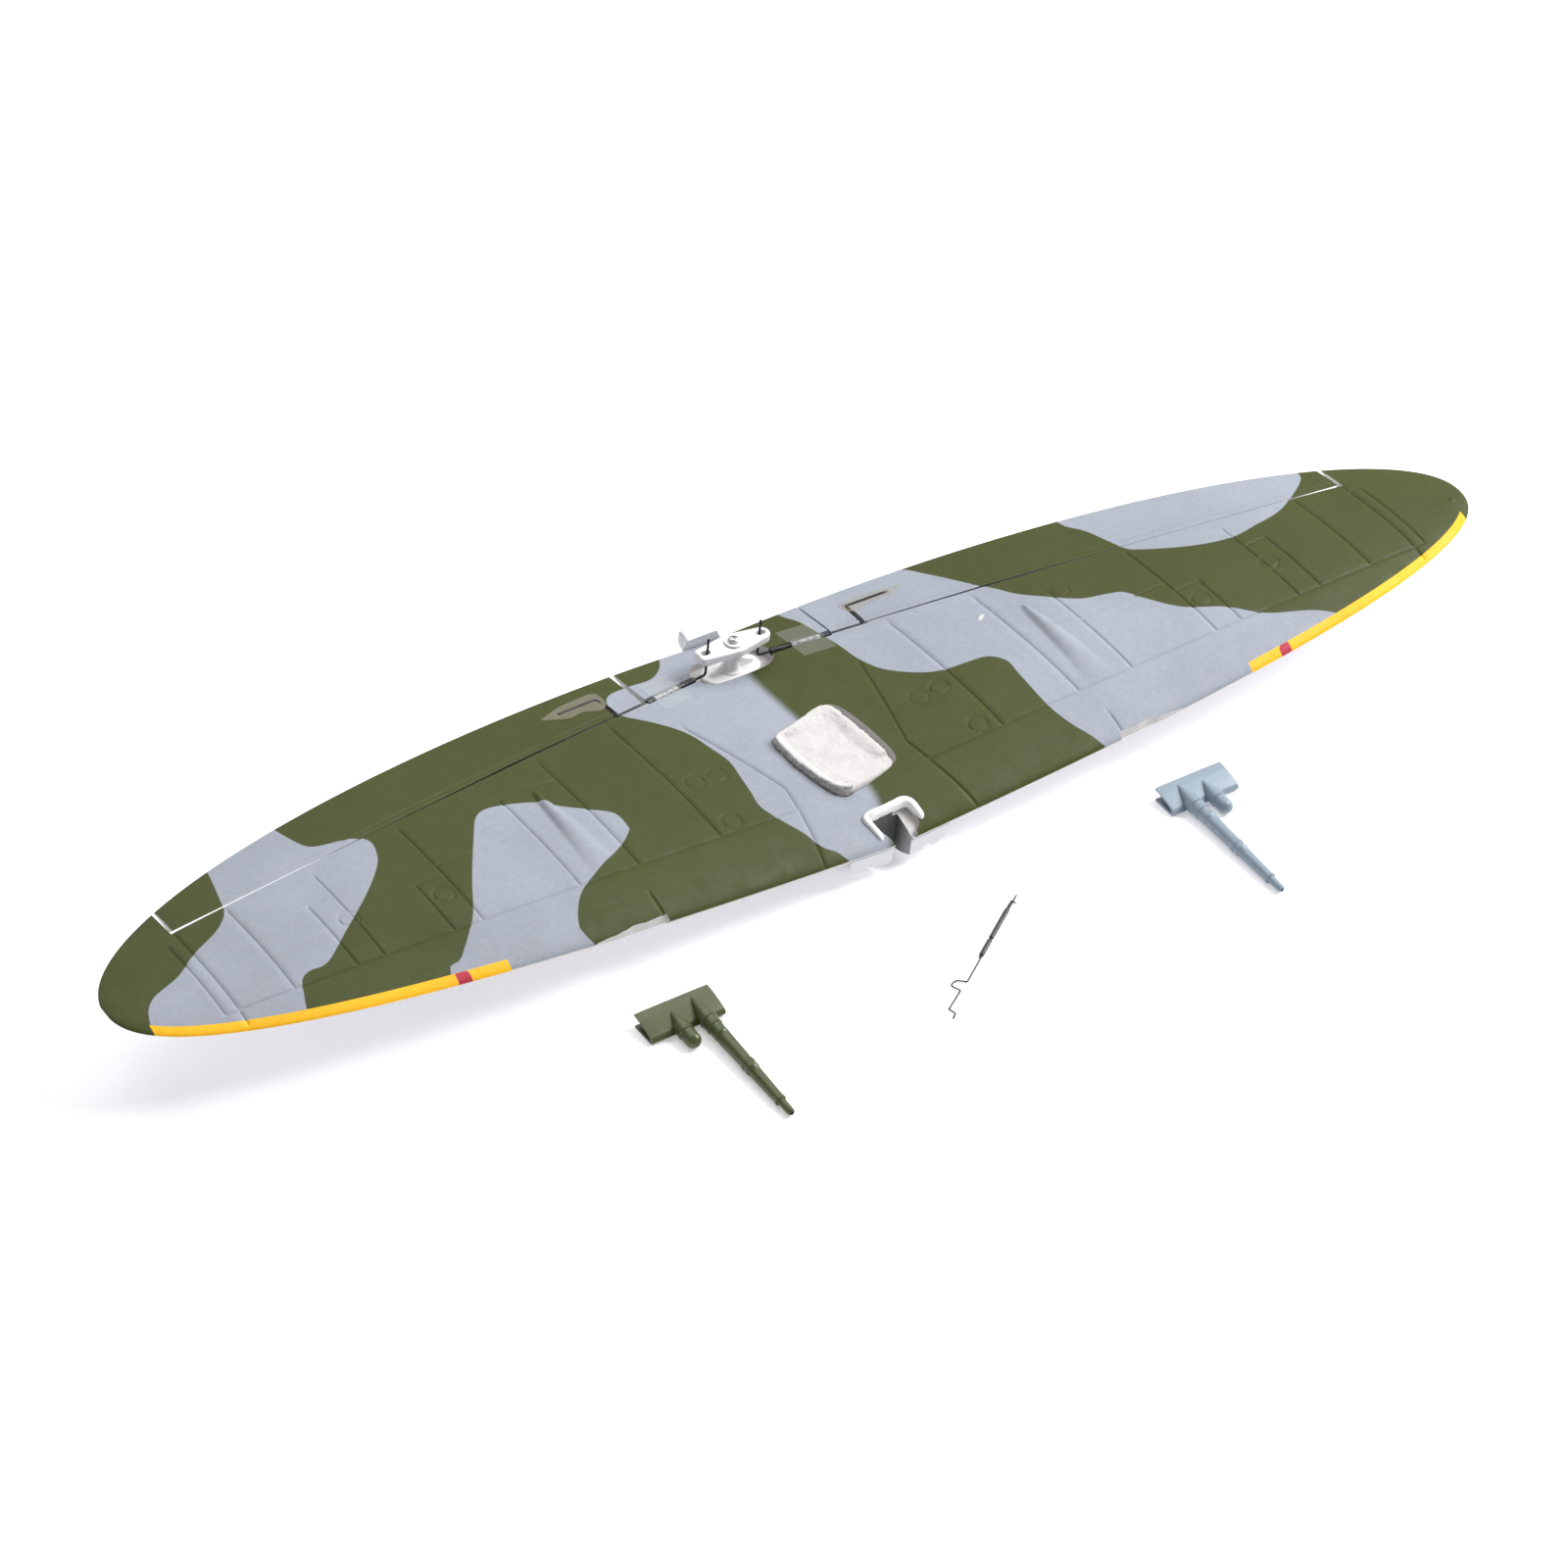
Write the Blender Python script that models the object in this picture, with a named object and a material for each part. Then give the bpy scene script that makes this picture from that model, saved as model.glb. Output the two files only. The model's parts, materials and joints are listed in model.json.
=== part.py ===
"""Wing set of an ultra-micro foam warbird: a one-piece elliptical wing with ailerons, the bellcrank and
torque rods that drive them, and the pieces that come loose with it, laid out in front of the wing.

Frame: +X is the aeroplane's left wing, -Y its nose, +Z up. The set stands on Z = 0 on its belly fairing.
Lengths in the dimensions below are millimetres from the wing datum, the middle of the wing at mid thickness
on the centre line; at() turns them into world metres.
"""

import math

import bmesh
import bpy
from mathutils import Matrix, Vector

MM = 0.001

# ---- Datum: where the wing's own centre stands in the world frame ----
DATUM_Y = 14.5
DATUM_Z = 9.0

# ---- Wing ----
HALF_SPAN = 205.0
FRONT_CHORD = 31.9          # datum line to the leading edge at the centre
FRONT_POWER = 2.6           # super-ellipse power of the leading edge
REAR_CHORD = 55.6
REAR_POWER = 1.84
DIHEDRAL = math.radians(3.77)
ROOT_THICKNESS = 0.101      # thickness over chord at the centre
TIP_THICKNESS = 0.080
CAMBER = 0.02
CAMBER_AT = 0.4
EDGE_HALF_THICKNESS = 0.35  # half the thickness of the trailing edge
WING_STATIONS = 22          # sections in each half
SECTION_POINTS = 13         # points along each of the top and the bottom of a section

# ---- Ailerons: both ends of the hinge axis on the left wing ----
HINGE_INNER = Vector((8.0, 43.0, 2.9))
HINGE_OUTER = Vector((178.5, 15.7, 12.8))
AILERON_INNER_X = 28.5
AILERON_OUTER_X = 178.6
CUT = 0.55                  # width of the cuts at the ends of an aileron
HINGE_GAP_TOP = 0.65        # hinge line to the aileron's front face at the top skin
HINGE_GAP_BOTTOM = 2.3      # and at the bottom skin, which leaves room to swing down
HINGE_WALL = 0.2            # hinge line back to the fixed wall in front of it

# ---- Torque rods ----
ROD_RADIUS = 0.33
ROD_TOP_Z = 14.4
ROD_ELBOW_X = 38.0          # where the rod leaves the hinge axis
ROD_HEEL = (38.6, 47.2)     # plan position of its second bend, on the aileron
ROD_END = (50.5, 46.2)
ROD_BEND = 0.9
GROOVE_HALF_WIDTH = 0.68
TUBE_RADIUS = 0.85
TUBE_BORE = 0.48
TUBE_SPAN = (17.6, 25.6)
INNER_SLEEVE_SPAN = (11.8, 17.3)
OUTER_SLEEVE_SPAN = (25.9, 28.1)
SLEEVE_RADIUS = 0.72
SLEEVE_BORE = 0.45
TUBE_GROOVE_HALF_WIDTH = 1.2

# ---- Bellcrank ----
PIVOT = (0.0, 43.0)
ARM_BOTTOM_Z = 8.0
ARM_TOP_Z = 10.3
ARM_HUB_RADIUS = 3.75
ARM_TIP_X = 8.7
ARM_TIP_RADIUS = 2.2
ARM_CORNER = (9.9, 1.5, 0.8)   # squarer end: corner circles' x, y and radius
SLOT_INNER_X = 7.1
SLOT_OUTER_X = 9.9
SLOT_WIDTH = 1.8
PIVOT_BORE = 0.95
WASHER_RADIUS = 2.4
WASHER_Z = (10.5, 10.9)
SCREW_HEAD_RADIUS = 1.45
SCREW_HEAD_Z = (11.05, 11.95)
SCREW_SHANK_RADIUS = 0.6
SCREW_TIP_Z = 3.6
POST_RADIUS = 2.1
POST_TOP_Z = 7.8
POST_BORE = 0.8
POST_BORE_DEPTH = 4.6
CARRIER = (17.0, 7.2)          # stadium base of the bellcrank carrier
CARRIER_Z = (0.7, 1.7)
POCKET = (24.0, 10.6)          # stadium pocket in the top of the wing
POCKET_FLOOR_Z = 0.35

# ---- Centre section ----
SADDLE_CORNERS = ((-10.4, 8.6), (-6.9, -13.8), (10.0, -13.2), (8.6, 12.7))
SADDLE_CORNER_RADIUS = 2.6
SADDLE_SEAT_Z = 4.4
SADDLE_TOP_Z = 9.0
NOTCH_HALF_WIDTH = 4.1
NOTCH_BACK_Y = -22.6
RIM_HALF_WIDTH = 7.0           # centre line of the rim's arms
RIM_BACK_Y = -22.0
RIM_FRONT_Y = -29.6
RIM_CORNER = 2.6
RIM_WIDTH = 2.0
RIM_TOP_RISE = 2.3

# ---- Belly fairing: its sections from nose to tail ----
# (y, half width, bottom z): the top is flat at BELLY_TOP_Z, except along the tail tongue
BELLY_SECTIONS = (
    (-31.4, 15.0, -4.6),
    (-28.5, 17.2, -6.4),
    (-24.0, 19.0, -7.8),
    (-18.0, 19.8, -8.5),
    (-10.0, 20.0, -9.0),
    (30.0, 17.0, -9.0),
    (40.0, 13.8, -8.2),
    (49.0, 10.2, -6.8),
    (56.1, 6.6, -5.4),
)
TONGUE_SECTIONS = ((56.2, 4.8, -5.4), (58.2, 4.3, -2.9), (60.6, 4.3, -1.3))
BELLY_TOP_Z = -1.3
TONGUE_TOP_Z = 3.0
BELLY_CORNER = 0.5             # share of the half width that the rounded lower corner takes
BELLY_GAP = 0.3

# ---- Spar strips let into the underside ----
SPAR_WIDTH = 2.4
SPAR_DEPTH = 0.7
SPAR_INNER_X = 21.5
SPAR_OUTER_X = 150.0
SPAR_Y = -4.0
SPAR_GAP = 0.25

# ---- Clear tape over the bearing tubes ----
TAPE_LENGTH = 9.0
TAPE_WIDTH = 13.0
TAPE_THICKNESS = 0.15
TAPE_LIFT = 0.3

# ---- Cannon fairings: clip, barrel and stub, from the front of the clip's nose backwards ----
CLIP_WIDTH = 21.0
CLIP_DEPTH = 8.4
CLIP_HEIGHT = 3.7
CLIP_WALL = 0.6
CLIP_NOSE_Z = 2.0
BARREL_OFFSET = 4.6            # from the clip's middle towards the fuselage
STUB_OFFSET = 2.2              # and away from it
BARREL_AXIS_Z = (2.45, 1.35)   # axis height at the clip and at the muzzle
# (distance ahead of the clip's nose, radius)
BARREL_PROFILE = (
    (-4.5, 1.0), (-2.5, 1.9), (0.6, 2.35), (1.0, 2.35), (1.3, 2.2), (3.6, 2.15), (3.9, 2.0),
    (17.4, 1.72), (17.8, 1.86), (18.4, 1.86), (18.8, 1.7), (20.0, 1.7), (20.4, 1.6), (31.4, 1.3),
    (31.6, 1.05), (35.5, 1.0), (36.1, 0.75),
)
STUB_PROFILE = ((-4.5, 0.9), (-2.5, 1.8), (0.4, 2.15), (1.6, 2.15), (1.9, 2.0), (4.6, 2.0))
STUB_DOME = 2.0
RIGHT_CANNON_AT = (-77.0, -53.5)
LEFT_CANNON_AT = (83.6, -50.0)

# ---- Loose pushrod: plan points of its two wires on the bench ----
WIRE_RADIUS = 0.27
MAIN_WIRE = (
    (20.4, -53.8), (-8.9, -73.0), (-11.2, -71.2), (-13.4, -72.0), (-12.2, -74.7),
    (-18.6, -78.6), (-18.0, -80.6), (-19.6, -81.7),
)
HOOK_WIRE_SPAN = (2.6, 25.5)   # along the main wire from its straight end
HOOK_LEG = 2.0
SLEEVES = ((6.0, 12.4), (18.6, 24.8))
PUSHROD_SLEEVE_RADIUS = (1.0, 0.72)   # across both wires, and upright

STEEL = (0.06, 0.055, 0.06)
SIDES = 12


# ---------------------------------------------------------------- placing and materials


def at(x, y, z):
    """World position in metres of a point given in millimetres from the wing datum."""
    return Vector((x, y + DATUM_Y, z + DATUM_Z)) * MM


def clear_scene():
    for obj in list(bpy.data.objects):
        bpy.data.objects.remove(obj, do_unlink=True)


def material(name, colour, roughness, metallic=0.0, alpha=1.0):
    found = bpy.data.materials.get(name)
    if found:
        return found
    made = bpy.data.materials.new(name)
    made.use_nodes = True
    shader = made.node_tree.nodes["Principled BSDF"]
    shader.inputs["Base Color"].default_value = (*colour, 1.0)
    shader.inputs["Roughness"].default_value = roughness
    shader.inputs["Metallic"].default_value = metallic
    shader.inputs["Alpha"].default_value = alpha
    return made


def foam_green():
    return material("painted_foam_green", (0.115, 0.135, 0.045), 0.6)


def foam_white():
    return material("bare_foam", (0.82, 0.82, 0.80), 0.75)


def white_plastic():
    return material("white_plastic", (0.86, 0.86, 0.86), 0.35)


def steel():
    return material("black_wire", STEEL, 0.4, 0.8)


def add_object(name, mesh, finish=None):
    obj = bpy.data.objects.new(name, mesh)
    bpy.context.scene.collection.objects.link(obj)
    if finish:
        mesh.materials.append(finish)
    return obj


def mesh_from(name, points, faces, smooth_angle=None):
    """A mesh of world points with its faces turned outwards."""
    mesh = bpy.data.meshes.new(name)
    mesh.from_pydata([tuple(p) for p in points], [], faces)
    work = bmesh.new()
    work.from_mesh(mesh)
    bmesh.ops.recalc_face_normals(work, faces=work.faces)
    work.to_mesh(mesh)
    work.free()
    if smooth_angle:
        mesh.shade_smooth()
        mesh.set_sharp_from_angle(angle=math.radians(smooth_angle))
    return mesh


def recentre(obj, origin):
    """Moves the object's origin to a world point, keeping its mesh where it is."""
    obj.data.transform(Matrix.Translation(-origin))
    obj.location = origin


def boolean(obj, cutter, operation="DIFFERENCE"):
    cut = obj.modifiers.new(f"{operation.lower()}_{cutter.name}", "BOOLEAN")
    cut.operation = operation
    cut.solver = "EXACT"
    cut.object = cutter
    cutter.hide_render = True
    cutter.display_type = "WIRE"


# ---------------------------------------------------------------- basic solids


def loft(name, rings, smooth_angle=None, finish=None):
    """A closed solid through rings of equal length, with flat caps at both ends."""
    count = len(rings[0])
    points = [p for ring in rings for p in ring]
    faces = []
    for i in range(len(rings) - 1):
        for j in range(count):
            k = (j + 1) % count
            faces.append((i * count + j, i * count + k, (i + 1) * count + k, (i + 1) * count + j))
    faces.append(tuple(range(count)))
    last = (len(rings) - 1) * count
    faces.append(tuple(last + j for j in range(count)))
    return add_object(name, mesh_from(name, points, faces, smooth_angle), finish)


def prism(name, outline, bottom_z, top_z, finish=None):
    """An upright solid on a plan outline in datum millimetres. Its ends may slope: z may be a function."""
    def height(z, x, y):
        return z(x, y) if callable(z) else z
    rings = [[at(x, y, height(z, x, y)) for x, y in outline] for z in (bottom_z, top_z)]
    return loft(name, rings, 30, finish)


def circle(centre, radius, sides):
    steps = [2 * math.pi * i / sides for i in range(sides)]
    return [(centre[0] + radius * math.cos(a), centre[1] + radius * math.sin(a)) for a in steps]


def hull(points):
    """Convex outline round plan points, anticlockwise."""
    points = sorted(set((round(x, 6), round(y, 6)) for x, y in points))

    def half(run):
        kept = []
        for p in run:
            while len(kept) > 1 and cross(kept[-2], kept[-1], p) <= 0:
                kept.pop()
            kept.append(p)
        return kept[:-1]

    return half(points) + half(points[::-1])


def cross(a, b, c):
    return (b[0] - a[0]) * (c[1] - a[1]) - (b[1] - a[1]) * (c[0] - a[0])


def stadium(centre, size, sides=24):
    """Plan outline of a slot with round ends, long along X."""
    radius = size[1] / 2
    reach = size[0] / 2 - radius
    ends = [circle((centre[0] + s * reach, centre[1]), radius, sides) for s in (-1, 1)]
    return hull(ends[0] + ends[1])


def frame_along(direction):
    """Two unit vectors square to a direction, the second as upright as it can be."""
    along = direction.normalized()
    side = along.cross(Vector((0, 0, 1)))
    if side.length < 1e-6:
        side = Vector((1, 0, 0))
    side.normalize()
    return side, side.cross(along)


def turned(name, start, direction, profile, finish, sides=SIDES, bore=None):
    """A round solid: profile gives (distance along, radius) in millimetres from a world start."""
    side, up = frame_along(direction)
    along = direction.normalized()
    turns = [2 * math.pi * i / sides for i in range(sides)]

    def ring(distance, radius):
        centre = start + along * distance * MM
        return [centre + (side * math.cos(a) + up * math.sin(a)) * radius * MM for a in turns]

    rings = [ring(distance, radius) for distance, radius in profile]
    if bore is None:
        return loft(name, rings, 40, finish)
    rings += [ring(distance, bore) for distance, _ in reversed(profile)]
    count = sides
    points = [p for r in rings for p in r]
    faces = []
    for i in range(len(rings)):
        nxt = (i + 1) % len(rings)
        for j in range(count):
            k = (j + 1) % count
            faces.append((i * count + j, i * count + k, nxt * count + k, nxt * count + j))
    return add_object(name, mesh_from(name, points, faces, 40), finish)


def rounded_path(points, radius, steps=4):
    """The polyline with each inner corner replaced by an arc of about this radius."""
    path = [points[0]]
    for before, corner, after in zip(points, points[1:], points[2:]):
        back = (before - corner).normalized()
        ahead = (after - corner).normalized()
        half_turn = (math.pi - back.angle(ahead)) / 2
        reach = min(radius * math.tan(half_turn), 0.45 * (before - corner).length, 0.45 * (after - corner).length)
        start = corner + back * reach
        end = corner + ahead * reach
        for i in range(steps + 1):
            t = i / steps
            path.append(start * (1 - t) ** 2 + corner * 2 * t * (1 - t) + end * t**2)
    path.append(points[-1])
    return path


def wire(name, path, radius, finish, origin=None):
    """A round wire along a world path, as a bevelled curve with filled caps."""
    curve = bpy.data.curves.new(name, "CURVE")
    curve.dimensions = "3D"
    curve.bevel_depth = radius * MM
    curve.bevel_resolution = 2
    curve.use_fill_caps = True
    curve.materials.append(finish)
    spline = curve.splines.new("POLY")
    spline.points.add(len(path) - 1)
    shift = origin or Vector((0, 0, 0))
    for point, place in zip(spline.points, path):
        point.co = (*(place - shift), 1.0)
    obj = bpy.data.objects.new(name, curve)
    obj.location = shift
    bpy.context.scene.collection.objects.link(obj)
    return obj


# ---------------------------------------------------------------- the wing's surface


def front_y(x):
    share = min(abs(x) / HALF_SPAN, 1.0)
    return -FRONT_CHORD * (1 - share**FRONT_POWER) ** (1 / FRONT_POWER)


def back_y(x):
    share = min(abs(x) / HALF_SPAN, 1.0)
    return REAR_CHORD * (1 - share**REAR_POWER) ** (1 / REAR_POWER)


def section_point(x, share, side):
    """Datum point on the wing's skin: share of the chord from the leading edge, side +1 top or -1 bottom."""
    chord = back_y(x) - front_y(x)
    span_share = abs(x) / HALF_SPAN
    thickness = ROOT_THICKNESS + (TIP_THICKNESS - ROOT_THICKNESS) * span_share
    powers = 0.2969 * math.sqrt(share) - 0.1260 * share - 0.3516 * share**2
    half = 5 * thickness * (powers + 0.2843 * share**3 - 0.1036 * share**4)
    if share < CAMBER_AT:
        mean = CAMBER / CAMBER_AT**2 * (2 * CAMBER_AT * share - share**2)
    else:
        rest = 1 - 2 * CAMBER_AT + 2 * CAMBER_AT * share - share**2
        mean = CAMBER / (1 - CAMBER_AT) ** 2 * rest
    edge = EDGE_HALF_THICKNESS * share * (chord / (FRONT_CHORD + REAR_CHORD)) ** 0.5
    height = abs(x) * math.tan(DIHEDRAL) + mean * chord + side * (half * chord + edge)
    return x, front_y(x) + share * chord, height


def skin_z(x, y, side=1):
    """Height of the wing's top or bottom skin above the datum at a plan point."""
    chord = back_y(x) - front_y(x)
    share = min(max((y - front_y(x)) / chord, 0.0), 1.0)
    return section_point(x, share, side)[2]


def wing_blank(name, finish):
    """The whole wing, before anything is cut from it."""
    stations = [math.sin(0.5 * math.pi * i / WING_STATIONS) for i in range(WING_STATIONS + 1)]
    last = 0.9993
    half = [HALF_SPAN * min(s, last) for s in stations]
    spans = [-x for x in reversed(half[1:])] + half
    shares = [(1 - math.cos(math.pi * i / SECTION_POINTS)) / 2 for i in range(SECTION_POINTS + 1)]
    rings = []
    for x in spans:
        top = [section_point(x, s, 1) for s in shares]
        bottom = [section_point(x, s, -1) for s in reversed(shares[1:])]
        rings.append([at(*p) for p in top + bottom])
    return loft(name, rings, 35, finish)


def mirrored(point, side):
    return Vector((point.x * side, point.y, point.z))


def hinge_point(x, side=1):
    """Datum point on the hinge axis; side is +1 on the left wing and -1 on the right."""
    share = (x - HINGE_INNER.x) / (HINGE_OUTER.x - HINGE_INNER.x)
    return mirrored(HINGE_INNER.lerp(HINGE_OUTER, share), side)


# ---------------------------------------------------------------- cutters


def aileron_block(name, side, clearance):
    """The block of space behind the hinge line. With clearance it is the aileron itself, with a raked
    front face; without, it is the whole bay that the wing loses."""
    inner = AILERON_INNER_X + (clearance and CUT)
    outer = AILERON_OUTER_X - (clearance and CUT)
    behind = 70.0
    points = []
    for x in (inner, outer):
        hinge = hinge_point(x)
        top = skin_z(x, hinge.y) + 2.0
        bottom = skin_z(x, hinge.y, -1) - 2.0
        rake = HINGE_GAP_BOTTOM - HINGE_GAP_TOP
        depth = skin_z(x, hinge.y) - skin_z(x, hinge.y, -1)
        slope = rake / depth
        if clearance:
            front_top = hinge.y + HINGE_GAP_TOP - 2.0 * slope
            front_bottom = hinge.y + HINGE_GAP_BOTTOM + 2.0 * slope
        else:
            front_top = hinge.y - HINGE_WALL
            front_bottom = front_top
        points += [
            at(side * x, front_bottom, bottom),
            at(side * x, behind, bottom),
            at(side * x, behind, top),
            at(side * x, front_top, top),
        ]
    cutter = loft(name, [points[:4], points[4:]])
    return cutter


def groove(name, start, end, half_width, depth):
    """An upright-walled groove, open at the top, round a straight run between two datum points."""
    side, _ = frame_along(end - start)
    up = Vector((0, 0, 1))
    rings = []
    for place in (start, end):
        low = place - up * depth
        high = place + up * 6.0
        corners = [low - side * half_width, low + side * half_width]
        corners += [high + side * half_width, high - side * half_width]
        rings.append([at(*c) for c in corners])
    return loft(name, rings)


def rod_points(side):
    """Datum points of a torque rod: up through the bellcrank, along the hinge, into the aileron."""
    elbow = hinge_point(ROD_ELBOW_X)
    heel = Vector((*ROD_HEEL, skin_z(*ROD_HEEL) - 0.2))
    end = Vector((*ROD_END, skin_z(*ROD_END) - 0.2))
    top = HINGE_INNER.copy()
    top.z = ROD_TOP_Z
    return [mirrored(p, side) for p in (top, HINGE_INNER, elbow, heel, end)]


def rod_grooves(label, side):
    """Cutters that let a rod and its bearing into the wing and the aileron."""
    _, _, elbow, heel, end = rod_points(side)
    over = 0.9
    past = (heel - elbow).normalized() * over
    ahead = (end - heel).normalized() * over
    along = hinge_point(ROD_ELBOW_X + over, side)
    depth = GROOVE_HALF_WIDTH
    hinge_run = groove(f"{label}_rod_groove", hinge_point(9.5, side), along, depth, depth)
    cross_run = groove(f"{label}_cross_groove", elbow - past, heel + past, depth, depth)
    end_run = groove(f"{label}_end_groove", heel - ahead, end + ahead, depth, depth)
    inner = hinge_point(INNER_SLEEVE_SPAN[0] - 0.4, side)
    outer = hinge_point(OUTER_SLEEVE_SPAN[1] + 0.4, side)
    bearing = groove(f"{label}_bearing_groove", inner, outer, TUBE_GROOVE_HALF_WIDTH, TUBE_GROOVE_HALF_WIDTH)
    return hinge_run, cross_run, end_run, bearing


def belly_outline(margin):
    """Plan outline of the belly fairing under the wing."""
    left = [(half + margin, y) for y, half, _ in BELLY_SECTIONS]
    left[0] = (left[0][0], left[0][1] - margin)
    return left + [(-x, y) for x, y in reversed(left)]


def grown(corners, margin):
    """Plan corners pushed out from their middle by about the margin on each side."""
    cx = sum(x for x, _ in corners) / len(corners)
    cy = sum(y for _, y in corners) / len(corners)
    return [(x + margin * math.copysign(1, x - cx), y + margin * math.copysign(1, y - cy)) for x, y in corners]


def saddle_outline(margin=0.0):
    radius = SADDLE_CORNER_RADIUS
    rounds = []
    for x, y in grown(SADDLE_CORNERS, margin - radius):
        rounds += circle((x, y), radius, 20)
    return hull(rounds)


# ---------------------------------------------------------------- the pieces


def spar_path(side, margin):
    """Plan ends and depth of a spar strip's slot, following the dihedral."""
    rings = []
    half = SPAR_WIDTH / 2 + margin
    for x in (SPAR_INNER_X - margin, SPAR_OUTER_X + margin):
        base = skin_z(x, SPAR_Y, -1)
        top = base + 0.45 + SPAR_DEPTH + margin
        bottom = base + 0.45 if margin == 0 else base - 3.0
        rings.append([at(side * x, SPAR_Y - half, bottom), at(side * x, SPAR_Y + half, bottom),
                      at(side * x, SPAR_Y + half, top), at(side * x, SPAR_Y - half, top)])
    return rings


def make_wing():
    """The wing core, and an aileron in the bay on each side."""
    core = wing_blank("wing_core", foam_green())
    belly = prism("belly_seat", belly_outline(BELLY_GAP), -20.0, BELLY_TOP_Z + BELLY_GAP)
    boolean(core, belly)
    seat = prism("saddle_seat", saddle_outline(0.25), SADDLE_SEAT_Z, 20.0)
    boolean(core, seat)
    pocket = prism("bellcrank_pocket", stadium(PIVOT, POCKET), POCKET_FLOOR_Z, 20.0)
    boolean(core, pocket)
    notch = box("nose_notch", (-NOTCH_HALF_WIDTH, -40.0, -20.0), (NOTCH_HALF_WIDTH, NOTCH_BACK_Y, 20.0))
    boolean(core, notch)
    for label, side in (("left", 1), ("right", -1)):
        boolean(core, aileron_block(f"{label}_bay", side, False))
        aileron = wing_blank(f"{label}_aileron", foam_green())
        boolean(aileron, aileron_block(f"{label}_aileron_block", side, True), "INTERSECT")
        hinge_run, cross_run, end_run, bearing = rod_grooves(label, side)
        boolean(core, hinge_run)
        boolean(core, bearing)
        boolean(aileron, cross_run)
        boolean(aileron, end_run)
        recentre(aileron, at(*hinge_point(AILERON_INNER_X, side)))
        boolean(core, loft(f"{label}_spar_slot", spar_path(side, SPAR_GAP)))
        strip = loft(f"{label}_spar_strip", spar_path(side, 0.0))
        strip.data.materials.append(material("carbon_strip", (0.02, 0.02, 0.022), 0.45))
    return notch


def box(name, low, high, finish=None):
    outline = [(low[0], low[1]), (high[0], low[1]), (high[0], high[1]), (low[0], high[1])]
    return prism(name, outline, low[2], high[2], finish)


def belly_ring(y, half, bottom, top):
    """One upright section: a flat top, straight sides and an elliptical round into a flat bottom."""
    reach = BELLY_CORNER * half
    rise = 0.85 * (top - bottom)
    steps = 6
    right = [(half, top)]
    for i in range(steps + 1):
        turn = 0.5 * math.pi * i / steps
        right.append((half - reach * (1 - math.cos(turn)), bottom + rise * (1 - math.sin(turn))))
    ring = right + [(-x, z) for x, z in reversed(right)]
    return [at(x, y, z) for x, z in ring]


def make_belly(notch):
    rings = [belly_ring(y, half, bottom, BELLY_TOP_Z) for y, half, bottom in BELLY_SECTIONS]
    rings += [belly_ring(y, half, bottom, TONGUE_TOP_Z) for y, half, bottom in TONGUE_SECTIONS]
    belly = loft("belly_fairing", rings, 30, material("belly_foam", (0.62, 0.63, 0.65), 0.6))
    boolean(belly, notch)


def make_saddle():
    seat = SADDLE_SEAT_Z + 0.25
    prism("saddle_pad", saddle_outline(), seat, SADDLE_TOP_Z, foam_white())


def make_rim():
    """The U-shaped key round the nose notch: an upright bar swept over the skin."""
    corners = [(-RIM_HALF_WIDTH, RIM_FRONT_Y), (-RIM_HALF_WIDTH, RIM_BACK_Y),
               (RIM_HALF_WIDTH, RIM_BACK_Y), (RIM_HALF_WIDTH, RIM_FRONT_Y)]
    path = rounded_path([Vector((*c, 0.0)) for c in corners], RIM_CORNER, 5)
    rings = []
    for i, place in enumerate(path):
        before = path[max(i - 1, 0)]
        after = path[min(i + 1, len(path) - 1)]
        side, _ = frame_along(after - before)
        ground = max(skin_z(place.x + dx, place.y + dy) for dx in (-1, 1) for dy in (-1, 1)) + 0.2
        half = RIM_WIDTH / 2
        shape = [(-half, 0.0), (half, 0.0), (half, RIM_TOP_RISE - 0.6), (half - 0.5, RIM_TOP_RISE)]
        shape += [(0.5 - half, RIM_TOP_RISE), (-half, RIM_TOP_RISE - 0.6)]
        rings.append([at(place.x + side.x * u, place.y + side.y * u, ground + v) for u, v in shape])
    loft("nose_key_rim", rings, 30, white_plastic())


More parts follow.
